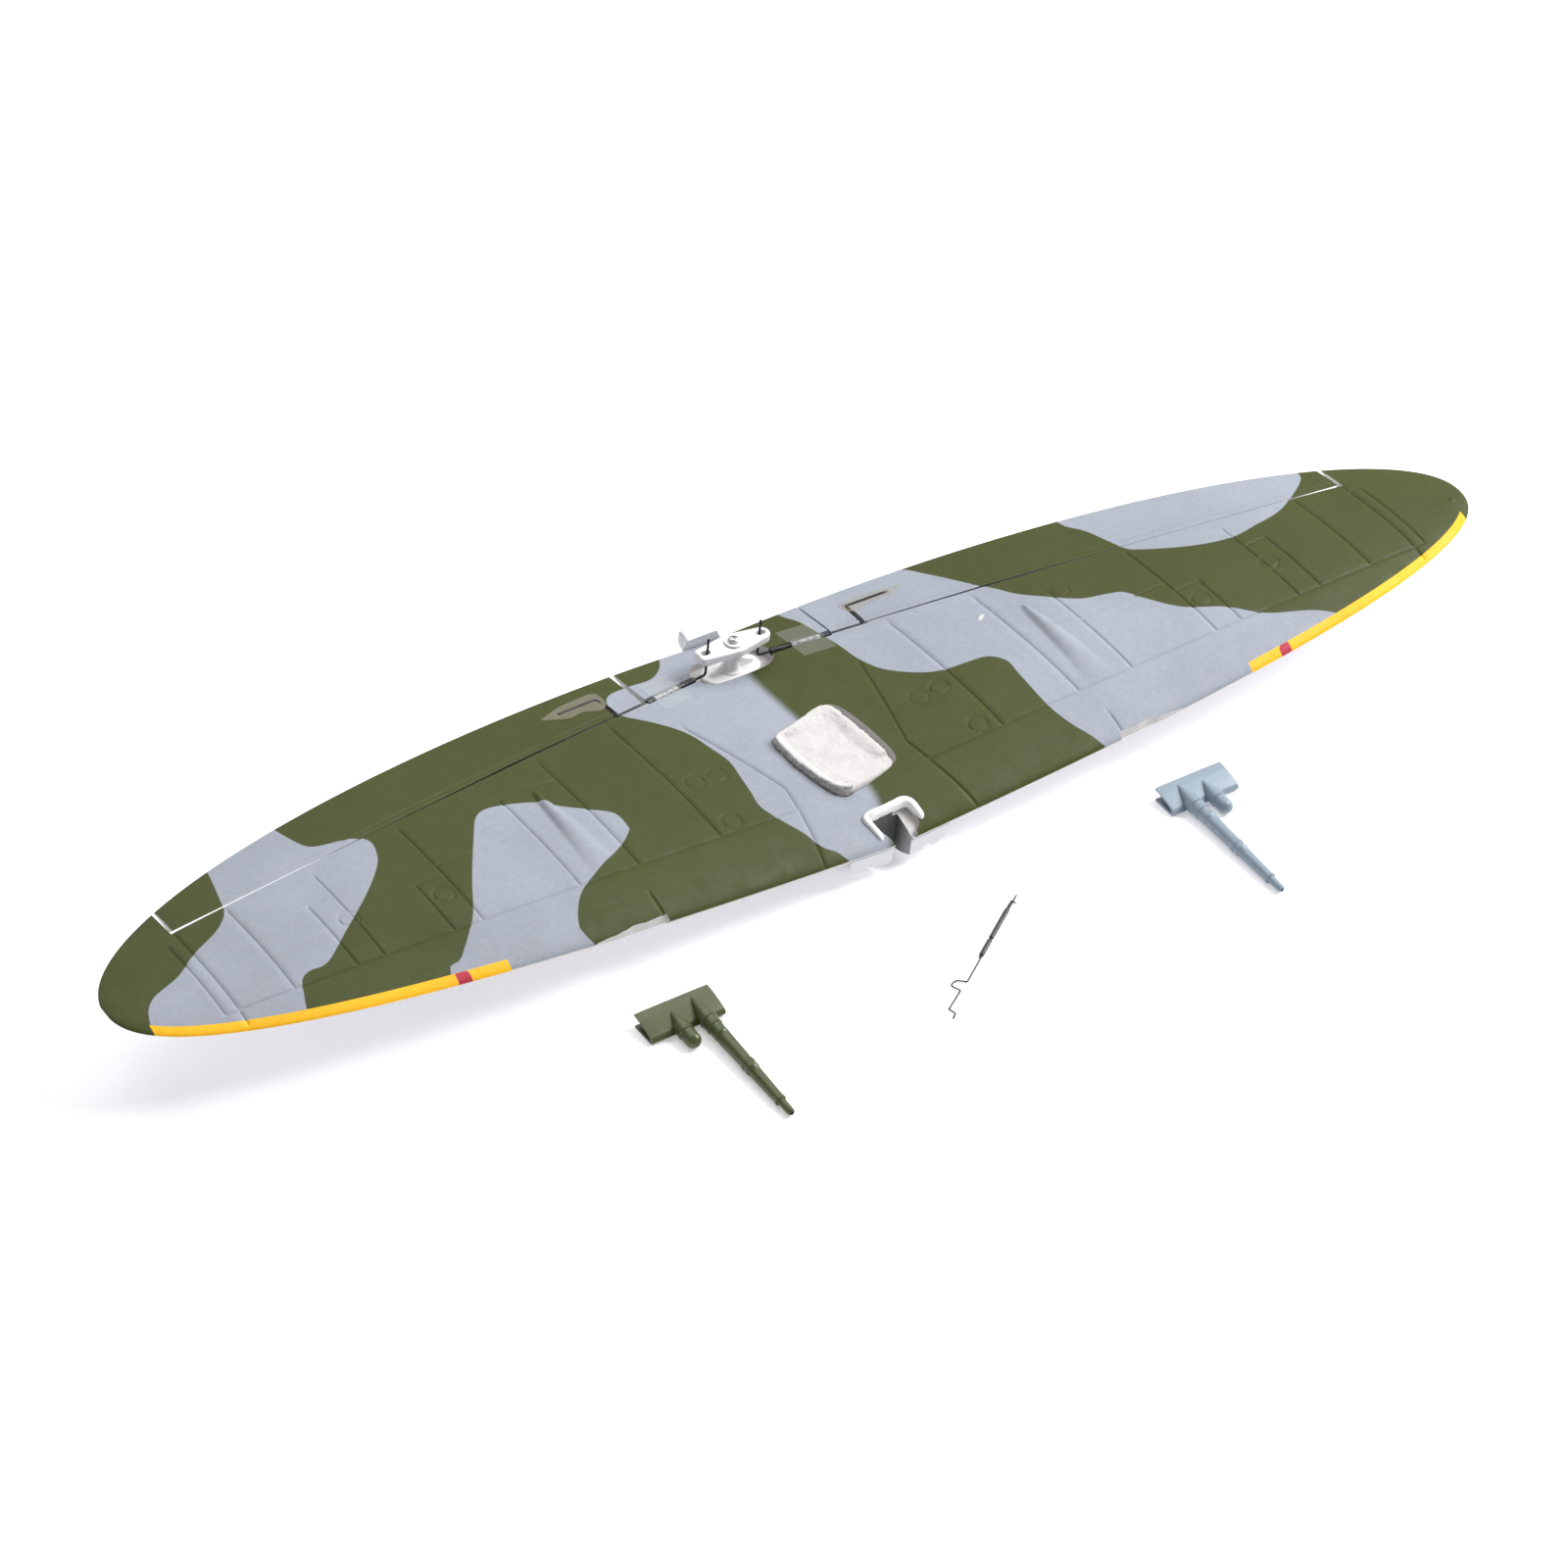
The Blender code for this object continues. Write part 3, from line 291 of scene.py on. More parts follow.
def furrow(distance, half_width, depth):
    """Depth of a smooth furrow at this distance from its middle."""
    return depth * 0.5 * (1 + np.cos(pi * np.clip(distance / half_width, 0.0, 1.0)))


def blister_height(x, y):
    """The teardrop blister on each wing: its pointed tail at the rear widens and sinks towards the front."""
    rear, front = BLISTER_Y
    along = np.clip((rear - y) / (rear - front), 0.0, 1.0)
    width = BLISTER_HALF_WIDTH * along**0.62 + 1e-6
    across = np.clip(np.abs(np.abs(x) - BLISTER_X) / width, 0.0, 1.0)
    crown = np.sqrt(along) * (1 - along) ** 1.1 * 2.0
    return BLISTER_HEIGHT * crown * (1 - across**2) ** 0.9


def relief(x, y):
    """Height of the moulded detail above the plain top skin."""
    raised = blister_height(x, y) - furrow(line_distance(x, y), LINE_HALF_WIDTH, LINE_DEPTH)
    light = np.clip(np.hypot(x - TIP_LIGHT[0], y - TIP_LIGHT[1]) / TIP_LIGHT[2], 0.0, 1.0)
    return raised + TIP_LIGHT_HEIGHT * (1 - light**2)


def bevel(x, y):
    """How far the aileron's top is pressed down, at its front edge and along the line behind it."""
    behind = y - hinge_y(x) - HINGE_GAP_TOP
    line = furrow(np.abs(behind + HINGE_GAP_TOP - BEVEL_LINE), BEVEL_LINE_HALF_WIDTH, BEVEL_LINE_DEPTH)
    return -BEVEL_DEPTH * np.clip(1 - behind / BEVEL_WIDTH, 0.0, 1.0) - line


def root_shift(column, y):
    """How far the grid lines near the wing root lean aside, to run along the slanting root line."""
    path = np.array(((ROOT_X, 40.0), *ROOT_LINE))[::-1]
    lean = np.interp(y, path[:, 1], path[:, 0]) - ROOT_X
    return np.sign(column) * np.interp(np.abs(column), (8.0, 21.7, 24.1, 40.0), (0.0, 1.0, 1.0, 0.0)) * lean


# ---- Meshes ----


def waver(*place):
    """Smooth noise between -1 and 1."""
    return noise.noise(Vector(place))


def turns(sides):
    """Angles of the corners of a round ring."""
    return 2 * pi * np.arange(sides) / sides


def eased(count):
    """Numbers from 0 to 1 that start close together."""
    return 1 - np.cos(0.5 * pi * np.linspace(0, 1, count))


def unit(vector):
    vector = np.asarray(vector, float)
    return vector / np.linalg.norm(vector)


def values(items, field, width=3):
    """One field of all of a mesh's points, faces or triangles, in rows."""
    found = np.empty(len(items) * width)
    items.foreach_get(field, found)
    return found.reshape(-1, width)


def store(obj, name, numbers, domain="POINT"):
    """Keeps a number for each point or face."""
    layer = obj.data.attributes.new(name, "FLOAT", domain)
    layer.data.foreach_set("value", np.asarray(numbers, np.float32))


def placed(name, data):
    obj = bpy.data.objects.new(name, data)
    bpy.context.scene.collection.objects.link(obj)
    return obj


def loft(name, rings, closed=False):
    """A solid through rings of points in datum millimetres. closed joins the last ring to the first."""
    count, total = len(rings[0]), len(rings)
    faces = []
    for i in range(total if closed else total - 1):
        here, there = i * count, (i + 1) % total * count
        around = [(j, (j + 1) % count) for j in range(count)]
        faces += [(here + j, here + k, there + k, there + j) for j, k in around]
    if not closed:
        faces += [tuple(range(count))[::-1], tuple(range((total - 1) * count, total * count))]
    points = np.concatenate([np.asarray(ring, float) for ring in rings])
    mesh = bpy.data.meshes.new(name)
    mesh.from_pydata(((points + DATUM) * MM).tolist(), [], faces)
    mesh.validate()
    face_out(mesh)
    return placed(name, mesh)


def face_out(mesh):
    """Turns the faces of one closed mesh outwards."""
    points = values(mesh.vertices, "co")
    points = points - points.mean(axis=0)
    mesh.calc_loop_triangles()
    a, b, c = points[values(mesh.loop_triangles, "vertices").astype(int)].transpose(1, 0, 2)
    if np.einsum("ij,ij->i", a, np.cross(b, c)).sum() < 0:
        mesh.flip_normals()


def boolean(obj, cutter, operation="DIFFERENCE"):
    """Applies one Boolean at once, keeping the attributes of both, and removes the cutter."""
    modifier = obj.modifiers.new("cut", "BOOLEAN")
    modifier.solver = "MANIFOLD"
    modifier.operation = operation
    modifier.object = cutter
    graph = bpy.context.evaluated_depsgraph_get()
    made = bpy.data.meshes.new_from_object(
        obj.evaluated_get(graph), preserve_all_data_layers=True, depsgraph=graph
    )
    obj.modifiers.clear()
    obj.data = made
    bpy.data.objects.remove(cutter)


def joined(cutters):
    """Cutters united into one, so that a dense mesh is cut only once."""
    for cutter in cutters[1:]:
        boolean(cutters[0], cutter, "UNION")
    return cutters[0]


def piece(obj, name, body, nodes, *materials, slot=None, angle=40):
    """Turns a built object into a finished piece of the set."""
    obj.name = obj.data.name = name
    obj.data.materials.clear()
    for made in materials:
        obj.data.materials.append(made)
    obj.data.shade_smooth()
    obj.data.set_sharp_from_angle(angle=radians(angle))
    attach(obj, body)
    if nodes:
        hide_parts(*nodes)


def circle(centre, radius, sides):
    around = turns(sides)
    return np.stack([centre[0] + radius * np.cos(around), centre[1] + radius * np.sin(around)], axis=1)


def hull(points):
    """Convex outline round plan points, anticlockwise."""
    points = sorted({(round(float(x), 5), round(float(y), 5)) for x, y in points})
    found = []
    for run in (points, points[::-1]):
        kept = []
        for x, y in run:
            while len(kept) > 1:
                (ax, ay), (bx, by) = kept[-2:]
                if (bx - ax) * (y - ay) - (by - ay) * (x - ax) > 0:
                    break
                kept.pop()
            kept.append((x, y))
        found += kept[:-1]
    return np.array(found)


def stadium(centre, size, sides=48):
    radius = size[1] / 2
    reach = size[0] / 2 - radius
    return hull(np.concatenate([circle((centre[0] + s * reach, centre[1]), radius, sides) for s in (-1, 1)]))


def flat_ring(outline, z):
    return np.column_stack([outline, np.full(len(outline), float(z))])


def prism(name, outline, low, high):
    return loft(name, [flat_ring(outline, low), flat_ring(outline, high)])


def lengths(path):
    """Distance along a path at each of its points."""
    return np.concatenate([[0], np.cumsum(np.linalg.norm(np.diff(path, axis=0), axis=1))])


def resampled(outline, count):
    """A closed outline with points at equal steps along it."""
    closed = np.vstack([outline, outline[:1]])
    along = lengths(closed)
    wanted = np.linspace(0, along[-1], count, endpoint=False)
    return np.column_stack([np.interp(wanted, along, column) for column in closed.T])


def rounded_prism(name, outline, low, high, fillet, steps=4):
    """An upright solid with both its edges rounded."""
    run = np.roll(outline, -1, axis=0) - np.roll(outline, 1, axis=0)
    normal = np.stack([run[:, 1], -run[:, 0]], axis=1)
    normal = normal / np.linalg.norm(normal, axis=1)[:, None]
    angles = 0.5 * pi * np.arange(steps + 1) / steps
    bends = [(fillet * (1 - sin(a)), fillet * (1 - cos(a))) for a in angles]
    rings = [flat_ring(outline - normal * inset, low + rise) for inset, rise in bends]
    return loft(name, rings + [flat_ring(outline - normal * inset, high - drop) for drop, inset in bends])


def smooth_closed(points, step):
    """A closed Catmull-Rom curve through plan points; a point given twice makes a corner."""
    points = np.asarray(points, float)
    found = []
    for p0, p1, p2, p3 in zip(*(np.roll(points, shift, axis=0) for shift in (1, 0, -1, -2))):
        length = np.linalg.norm(p2 - p1)
        if length < 1e-6:
            continue
        count = max(int(length / step), 1)
        for t in np.arange(count) / count:
            found.append(0.5 * ((2 * p1) + (p2 - p0) * t + (2 * p0 - 5 * p1 + 4 * p2 - p3) * t**2
                                + (3 * p1 - p0 - 3 * p2 + p3) * t**3))
    return np.array(found)


def rounded_path(points, radius, steps=6):
    """A polyline with each inner corner replaced by an arc of about this radius, or of one radius each."""
    points = [np.asarray(p, float) for p in points]
    path = [points[0]]
    radii = np.broadcast_to(radius, len(points) - 2)
    for before, corner, after, bend in zip(points, points[1:], points[2:], radii):
        back, ahead = unit(before - corner), unit(after - corner)
        longest = 0.45 * min(np.linalg.norm(before - corner), np.linalg.norm(after - corner))
        half_turn = (pi - acos(np.clip(back @ ahead, -1, 1))) / 2
        reach = min(bend * tan(half_turn), longest)
        start, end = corner + back * reach, corner + ahead * reach
        for t in np.arange(steps + 1) / steps:
            path.append(start * (1 - t) ** 2 + corner * 2 * t * (1 - t) + end * t**2)
    return np.array([*path, points[-1]])


def finer(path, step):
    """The same path with a point at least every step."""
    found = [path[0]]
    for a, b in zip(path, path[1:]):
        count = max(int(np.linalg.norm(b - a) / step), 1)
        found += [a + (b - a) * i / count for i in range(1, count + 1)]
    return np.array(found)


def sweep(name, path, radius, sides=14, flatten=(1.0, 1.0), end_round=0.4):
    """A round bar along a path with rounded ends. radius is a number or a function of the distance along;
    flatten gives its width and height as shares of the radius."""
    tangent = np.gradient(path, axis=0)
    tangent /= np.linalg.norm(tangent, axis=1)[:, None]
    side = np.cross(tangent[0], (0, 0, 1))
    if np.linalg.norm(side) < 0.1:
        side = np.cross(tangent[0], (0, 1, 0))
    wide, tall = np.cos(turns(sides)) * flatten[0], np.sin(turns(sides)) * flatten[1]
    along = lengths(path)
    rings, sizes = [], [radius(distance) if callable(radius) else radius for distance in along]
    for place, direction, size in zip(path, tangent, sizes):
        side = unit(side - direction * (side @ direction))
        rings.append(place + size * (np.outer(wide, side) + np.outer(tall, np.cross(side, direction))))
    caps = []
    for end, sign in ((0, -1), (-1, 1)):
        reach = min(end_round * sizes[end], 0.3 * along[-1])
        caps.append([path[end] + (rings[end] - path[end]) * sqrt(1 - share**2)
                     + tangent[end] * sign * reach * share for share in (0.5, 0.85, 0.98)])
    return loft(name, caps[0][::-1] + rings + caps[1])


def turned(name, start, direction, profile, sides=32, bore=None):
    """A round solid from (distance along, radius) pairs; bore leaves a hole along it."""
    along = unit(direction)
    side = np.cross(along, (0, 0, 1))
    side = unit(side) if np.linalg.norm(side) > 1e-6 else np.array((1.0, 0, 0))
    around = np.outer(np.cos(turns(sides)), side) + np.outer(np.sin(turns(sides)), np.cross(side, along))
    if bore:
        profile = [*profile, *((distance, bore) for distance, _ in reversed(profile))]
    rings = [np.asarray(start) + along * distance + around * radius for distance, radius in profile]
    return loft(name, rings, closed=bool(bore))


def roughen(obj, amount, size, seed, where=lambda place, normal: True):
    """Moves each vertex along its normal by smooth noise of a given size, both in millimetres."""
    normals = [vertex.normal.copy() for vertex in obj.data.vertices]
    for vertex, normal in zip(obj.data.vertices, normals):
        if where(vertex.co, normal):
            place = vertex.co / (size * MM) + Vector((seed, seed, seed))
            vertex.co += normal * amount * MM * noise.fractal(place, 1.0, 2.0, 4)
    obj.data.update()


# ---- Materials ----


class Nodes:
    """A node material written as calls: each adds a node, feeds its sockets and returns its useful output."""

    def __init__(self, name):
        self.material = bpy.data.materials.new(name)
        self.material.use_nodes = True
        self.tree = self.material.node_tree
        self.place = self.tree.nodes.new("ShaderNodeTexCoord").outputs["Object"]

    def feed(self, node, sockets):
        """Links an output to each named socket, or sets its value."""
        for name, value in sockets.items():
            socket = node.inputs[name.replace("_", " ")]
            if isinstance(value, bpy.types.NodeSocket):
                self.tree.links.new(value, socket)
            else:
                socket.default_value = (*value, 1.0) if socket.type == "RGBA" else value

    def add(self, kind, output, settings=(), **sockets):
        node = self.tree.nodes.new("ShaderNode" + kind)
        for name, value in settings:
            setattr(node, name, value)
        self.feed(node, sockets)
        return node.outputs[output]

    def noise(self, size, detail=3.0, roughness=0.55, stretch=None):
        """Noise whose features are about size millimetres across."""
        place = self.add("Mapping", "Vector", Vector=self.place, Scale=stretch) if stretch else self.place
        return self.add("TexNoise", "Fac", Vector=place, Scale=1 / (size * MM), Detail=detail,
                        Roughness=roughness)

    def cells(self, size, feature):
        feature = [("feature", feature)]
        return self.add("TexVoronoi", "Distance", feature, Vector=self.place, Scale=1 / (size * MM))

    def attribute(self, name):
        return self.add("Attribute", "Fac", [("attribute_name", name)])

    def ramp(self, value, low, high, to_low=0.0, to_high=1.0):
        """The value carried smoothly from one range to another."""
        smooth = [("interpolation_type", "SMOOTHSTEP")]
        return self.add("MapRange", "Result", smooth, Value=value, From_Min=low, From_Max=high, To_Min=to_low,
                        To_Max=to_high)

    def patches(self, size, low, high):
        """Numbers from low to high, wandering over patches of this size."""
        return self.ramp(self.noise(size), 0.3, 0.7, low, high)

    def mix(self, share, a, b):
        return self.add("Mix", "Result", [("data_type", "RGBA")], Factor=share, A=a, B=b)

    def varied(self, colour, amount, size):
        """The colour with its brightness wandering by this amount over patches of this size."""
        value = self.patches(size, 1 - amount, 1 + amount)
        return self.add("HueSaturation", "Color", Color=colour, Value=value)

    def bump(self, height, depth, **normal):
        """Bump from a height of 0 to 1 that stands for depth millimetres."""
        return self.add("Bump", "Normal", Height=height, Distance=depth * MM, Strength=1.0, **normal)

    def beads(self, depth, grain):
        """Bump of foam beads with a fine grain over them."""
        beads = self.bump(self.ramp(self.cells(2.4, "SMOOTH_F1"), 0.0, 0.8), depth)
        return self.bump(self.noise(0.5, 2.0), grain, Normal=beads)

    def finish(self, colour, roughness, **sockets):
        sockets.update(Base_Color=colour, Roughness=roughness)
        self.feed(self.tree.nodes["Principled BSDF"], sockets)
        return self.material


def painted_foam():
    """Sprayed foam: olive over sea grey, with stripe, mark and bare edges, by the skin's stored depths."""
    n = Nodes("painted_foam")
    colour = SEA_GREY
    for area, soft, over in (("green", 0.14, OLIVE), ("stripe", 0.1, YELLOW), ("mark", 0.1, RED),
                             ("under", 0.12, UNDERSIDE), ("bare", 0.1, FOAM_WHITE)):
        colour = n.mix(n.ramp(n.attribute(area), -soft, soft), colour, over)
    colour = n.varied(n.varied(colour, 0.05, 26.0), 0.035, 1.3)
    return n.finish(colour, n.patches(6.0, 0.5, 0.62), Normal=n.beads(0.035, 0.02), Specular_IOR_Level=0.24)


def notch_painted_shade():
    """Grey paint with painted shade: darkened towards the back of the nose notch, where shade falls, and
    lighter towards its mouth.
    """
    n = Nodes("notch_painted_shade")
    # painted shade: light grey at the notch's mouth, near black at its back
    colour = n.mix(n.ramp(n.attribute("inside"), 0.1, 0.95), (0.34, 0.35, 0.36), (0.085, 0.088, 0.085))
    return n.finish(n.varied(colour, 0.08, 1.5), n.patches(1.5, 0.5, 0.65), Normal=n.bump(n.noise(0.6), 0.03))


def bare_foam():
    """Cut white foam: smooth with faint bead edges, and a greyer, broken surface where "torn" is 1."""
    n = Nodes("bare_foam")
    white, faint, low, high = (tuple(share * c for c in FOAM_WHITE) for share in (1, 0.96, 0.6, 0.9))
    edges = n.cells(1.4, "DISTANCE_TO_EDGE")
    torn = n.mix(n.ramp(n.noise(0.55, 3.0, 0.6), 0.35, 0.62), low, high)
    colour = n.mix(n.attribute("torn"), n.mix(n.ramp(edges, 0.0, 0.12), faint, white), torn)
    normal = n.bump(n.ramp(edges, 0.0, 0.3), 0.015)
    normal = n.bump(n.noise(0.5, 4.0, 0.65), 0.05, Normal=normal)
    return n.finish(n.varied(colour, 0.05, 4.0), n.patches(1.5, 0.72, 0.9), Normal=normal)


def belly_paint():
    n = Nodes("belly_paint")
    colour = n.varied(n.varied((0.62, 0.63, 0.66), 0.04, 14.0), 0.02, 1.2)
    return n.finish(colour, n.patches(5.0, 0.48, 0.6), Normal=n.beads(0.05, 0.03))


def plastic(name, colour, low, high):
    """Moulded plastic with faint flow marks and fine scratches."""
    n = Nodes(name)
    rough = n.ramp(n.noise(0.35, 3.0, 0.6, (1.0, 6.0, 1.0)), 0.3, 0.75, low, high)
    shade = n.varied(n.varied(colour, 0.03, 5.0), 0.018, 0.6)
    return n.finish(shade, rough, Normal=n.bump(n.noise(0.7), 0.025))


def metal(name, colour, roughness, metallic):
    n = Nodes(name)
    streaks = n.noise(0.4, 3.0, 0.6, (1.0, 1.0, 5.0))
    shade = n.mix(n.ramp(streaks, 0.35, 0.7), colour, tuple(c * 1.7 for c in colour))
    rough = n.ramp(streaks, 0.3, 0.7, roughness, roughness + 0.15)
    return n.finish(shade, rough, Normal=n.bump(streaks, 0.01), Metallic=metallic)


def shrink_sleeve():
    n = Nodes("shrink_sleeve")
    colour = n.mix(n.ramp(n.noise(0.8, 4.0, 0.65), 0.6, 0.72), (0.017, 0.014, 0.015), (0.30, 0.29, 0.30))
    return n.finish(colour, n.patches(0.6, 0.25, 0.5), Normal=n.bump(n.noise(0.45), 0.05))


def clear_tube():
    n = Nodes("clear_tube")
    colour = n.mix(n.ramp(n.noise(1.0, 4.0, 0.6), 0.42, 0.6), (0.70, 0.71, 0.70), (0.22, 0.22, 0.23))
    return n.finish(colour, n.patches(0.7, 0.12, 0.3), Normal=n.bump(n.noise(0.6), 0.04), Alpha=0.5)


def clear_film(name, colour, alpha):
    n = Nodes(name)
    return n.finish(n.varied(colour, 0.04, 3.0), n.patches(2.0, 0.3, 0.42), Normal=n.bump(n.noise(1.6), 0.06),
                    Alpha=alpha, Specular_IOR_Level=0.2)


def carbon():
    n = Nodes("carbon_strip")
    fibres = n.noise(0.3, 3.0, 0.6, (0.04, 1.0, 1.0))
    colour = n.mix(n.ramp(fibres, 0.3, 0.7), (0.010, 0.010, 0.011), (0.045, 0.045, 0.048))
    return n.finish(colour, n.ramp(fibres, 0.3, 0.7, 0.32, 0.5), Normal=n.bump(fibres, 0.03))


# ---- Wing skins ----


def span_columns():
    """Spanwise places of the skin's sections on one wing: even, but close together at the moulded detail."""
    tip_start = 186.0
    ends = asin(tip_start / HALF_SPAN), asin(TIP_SHARE)
    places = [*np.arange(0.0, tip_start, 1.25), *(HALF_SPAN * np.sin(np.linspace(*ends, 28)))]
    fine = [(TIP_LIGHT[0] - 1.4, TIP_LIGHT[0] + 1.4, 0.4), (BLISTER_X - 4.8, BLISTER_X + 4.8, 0.53)]
    fine += [(cx - 3.2, cx + 3.2, 0.4) for cx, _ in HATCHES + LEFT_HATCHES]
    fine += [(rib - 0.56, rib + 0.57, 0.28) for rib, _, _ in (*RIBS, (ROOT_X, 0, 0))]
    for low, high, step in fine:
        places = [x for x in places if not low - 0.2 < x < high + 0.2]
        places += list(np.arange(low, high + step / 2, step))
    places = np.unique(np.round(places, 3))
    places = places[places <= HALF_SPAN * TIP_SHARE]
    return places[np.concatenate([[True], np.diff(places) > 0.12])]


def chord_rows(x):
    """y of the top skin's rows at spanwise places: bands bounded by the leading edge, the front panel line,
    the rear end of the finely moulded area, the hinge line and the trailing edge."""
    front, back = front_y(x), back_y(x)
    chord = back - front
    hinge = np.minimum(hinge_y(x), back - 0.15 * chord)
    first = np.minimum(np.maximum(FRONT_LINE_Y, front + 0.08 * chord), hinge - 0.3 * chord)
    middle = np.minimum(FINE_BAND_Y, hinge - 0.12 * chord)
    near = 0.55 * np.minimum(chord / 30.0, 1.0)
    rows = [front + (first - near - front) * s for s in eased(22)[:-1]]
    rows += [first + near * s for s in (-1, -0.5, 0, 0.5, 1)]
    rows += [first + near + (middle - first - near) * s for s in np.linspace(0, 1, 82)[1:]]
    rows += [middle + (hinge - middle) * s for s in np.linspace(0, 1, 10)[1:]]
    shrink = np.minimum((back - hinge) / 8.0, 1.0)
    rows += [hinge + shrink * offset for offset in (0.42, 0.8, 1.2, 1.65, 1.9, 2.15, 2.4, 2.65, 3.3)]
    last = rows[-1]
    rows += [last + (back - last) * s for s in eased(9)[1:]]
    return np.stack(rows, axis=1)


def wing_blank(name, columns, height):
    """A dense closed wing before anything is cut from it, with every face marked as skin."""
    top_y = chord_rows(columns)
    front, back = front_y(columns)[:, None], back_y(columns)[:, None]
    low_y = front + (back - front) * ((1 - np.cos(pi * np.linspace(0, 1, 19))) / 2)[None, :0:-1]
    x_top, x_low = (columns[:, None] + root_shift(columns[:, None], y) for y in (top_y, low_y))
    top = np.stack([x_top, top_y, skin_z(x_top, top_y) + height(x_top, top_y)], axis=2)
    low = np.stack([x_low, low_y, skin_z(x_low, low_y, -1)], axis=2)
    obj = loft(name, list(np.concatenate([top, low], axis=1)))
    store(obj, "skin", np.ones(len(obj.data.polygons)), "FACE")
    return obj


def aileron_block(side, clearance):
    """The space behind the hinge line: the aileron itself with clearance, or its whole bay without."""
    inner, outer = AILERON_X
    if clearance:
        inner, outer = inner + CUT, outer - CUT - WIDE_END_GAP
    if side < 0:
        inner += WIDE_END_GAP if clearance else -WIDE_END_GAP
    rings = []
    for x in (inner, outer):
        hinge = float(hinge_y(x))
        top, bottom = float(skin_z(x, hinge)) + 2.0, float(skin_z(x, hinge, -1)) - 2.0
        slope = (HINGE_GAP_BOTTOM - HINGE_GAP_TOP) / (top - bottom - 4.0)
        front_top = hinge + HINGE_GAP_TOP - 2.0 * slope if clearance else hinge - HINGE_WALL
        front_bottom = hinge + HINGE_GAP_BOTTOM + 2.0 * slope if clearance else front_top
        corners = ((front_bottom, bottom), (70, bottom), (70, top), (front_top, top))
        rings.append([(side * x, y, z) for y, z in corners])
    return loft("aileron_block", rings)


def groove(start, end, half_width):
    """An upright-walled groove, open at the top, with a rounded floor."""
    across = unit(np.cross(end - start, (0, 0, 1)))
    floor = np.linspace(pi, 2 * pi, 9)
    shape = [(half_width * cos(a), half_width * sin(a)) for a in floor]
    shape += [(half_width, 6.0), (-half_width, 6.0)]
    return loft("groove", [[place + across * u + (0, 0, v) for u, v in shape] for place in (start, end)])


def rod_points(side):
    """Bends of a torque rod: up through the bellcrank, along the hinge, into the aileron."""
    top = HINGE_START * (1, 1, 0) + (0, 0, ROD_TOP_Z)
    heel, end = (np.array((*place, float(skin_z(*place)) - 0.04)) for place in (ROD_HEEL, ROD_END))
    return [p * (side, 1, 1) for p in (top, HINGE_START, hinge_point(ROD_ELBOW_X), heel, end)]


def wing_grooves(side):
    inner, outer = hinge_point(INNER_SLEEVE[0] - 0.4, side), hinge_point(OUTER_SLEEVE[1] + 0.4, side)
    return [groove(hinge_point(9.5, side), hinge_point(ROD_ELBOW_X + 0.9, side), GROOVE_HALF_WIDTH),
            groove(inner, outer, TUBE_GROOVE_HALF_WIDTH)]


def aileron_grooves(side):
    _, _, elbow, heel, end = rod_points(side)
    runs = [(a, b, unit(b - a) * 0.9) for a, b in ((elbow, heel), (heel, end))]
    return joined([groove(a - over, b + over, GROOVE_HALF_WIDTH) for a, b, over in runs])


def ledge_cutter():
    """The step beside the notch, where the bare foam lies a little below the painted skin."""
    rings = []
    for y, right in LEDGE:
        low = float(skin_z(5.0, max(y, -31.6))) - LEDGE_DEPTH
        rings.append([(2.0, y, low), (right, y, low), (right, y, 12.0), (2.0, y, 12.0)])
    return loft("ledge", rings)


def belly_outline(margin):
    left = [(half + margin, y) for y, half, _ in BELLY_SECTIONS]
    left[0] = (left[0][0], left[0][1] - margin)
    return np.array(left + [(-x, y) for x, y in reversed(left)])


def cad_box(node):
    """Both corners of a CAD node's box, from the datum."""
    return [np.array(corner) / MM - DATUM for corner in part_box(node)]


def spar_slot(side):
    low, high = cad_box(("left" if side > 0 else "right") + "_spar_strip")
    margin = 0.25
    rings = []
    for x in sorted((abs(low[0]) - side * margin, abs(high[0]) + side * margin)):
        roof = float(skin_z(x, -4.0, -1)) + 1.15 + margin
        front, back = low[1] - margin, high[1] + margin
        corners = ((front, roof - 5), (back, roof - 5), (back, roof), (front, roof))
        rings.append([(side * x, y, z) for y, z in corners])
    return loft("spar_slot", rings)


def leading_edge_seat(side):
    """The step where a cannon fairing's clip sits, with a wavering hand-trimmed edge."""
    inner, outer = SEAT_X
    edge = []
    for s in np.linspace(0, 1, 24):
        ragged = 0.35 * exp(-(((s - 0.45) / 0.1) ** 2)) + 0.12 * waver(s * 9, side * 3.0, 0)
        edge.append((side * (inner + (outer - inner) * s), SEAT_Y + 0.55 - 0.7 * s + ragged))
    outline = edge + [(side * outer, -45.0), (side * inner, -45.0)]
    return prism("leading_edge_seat", np.array(outline), -20.0, 20.0)


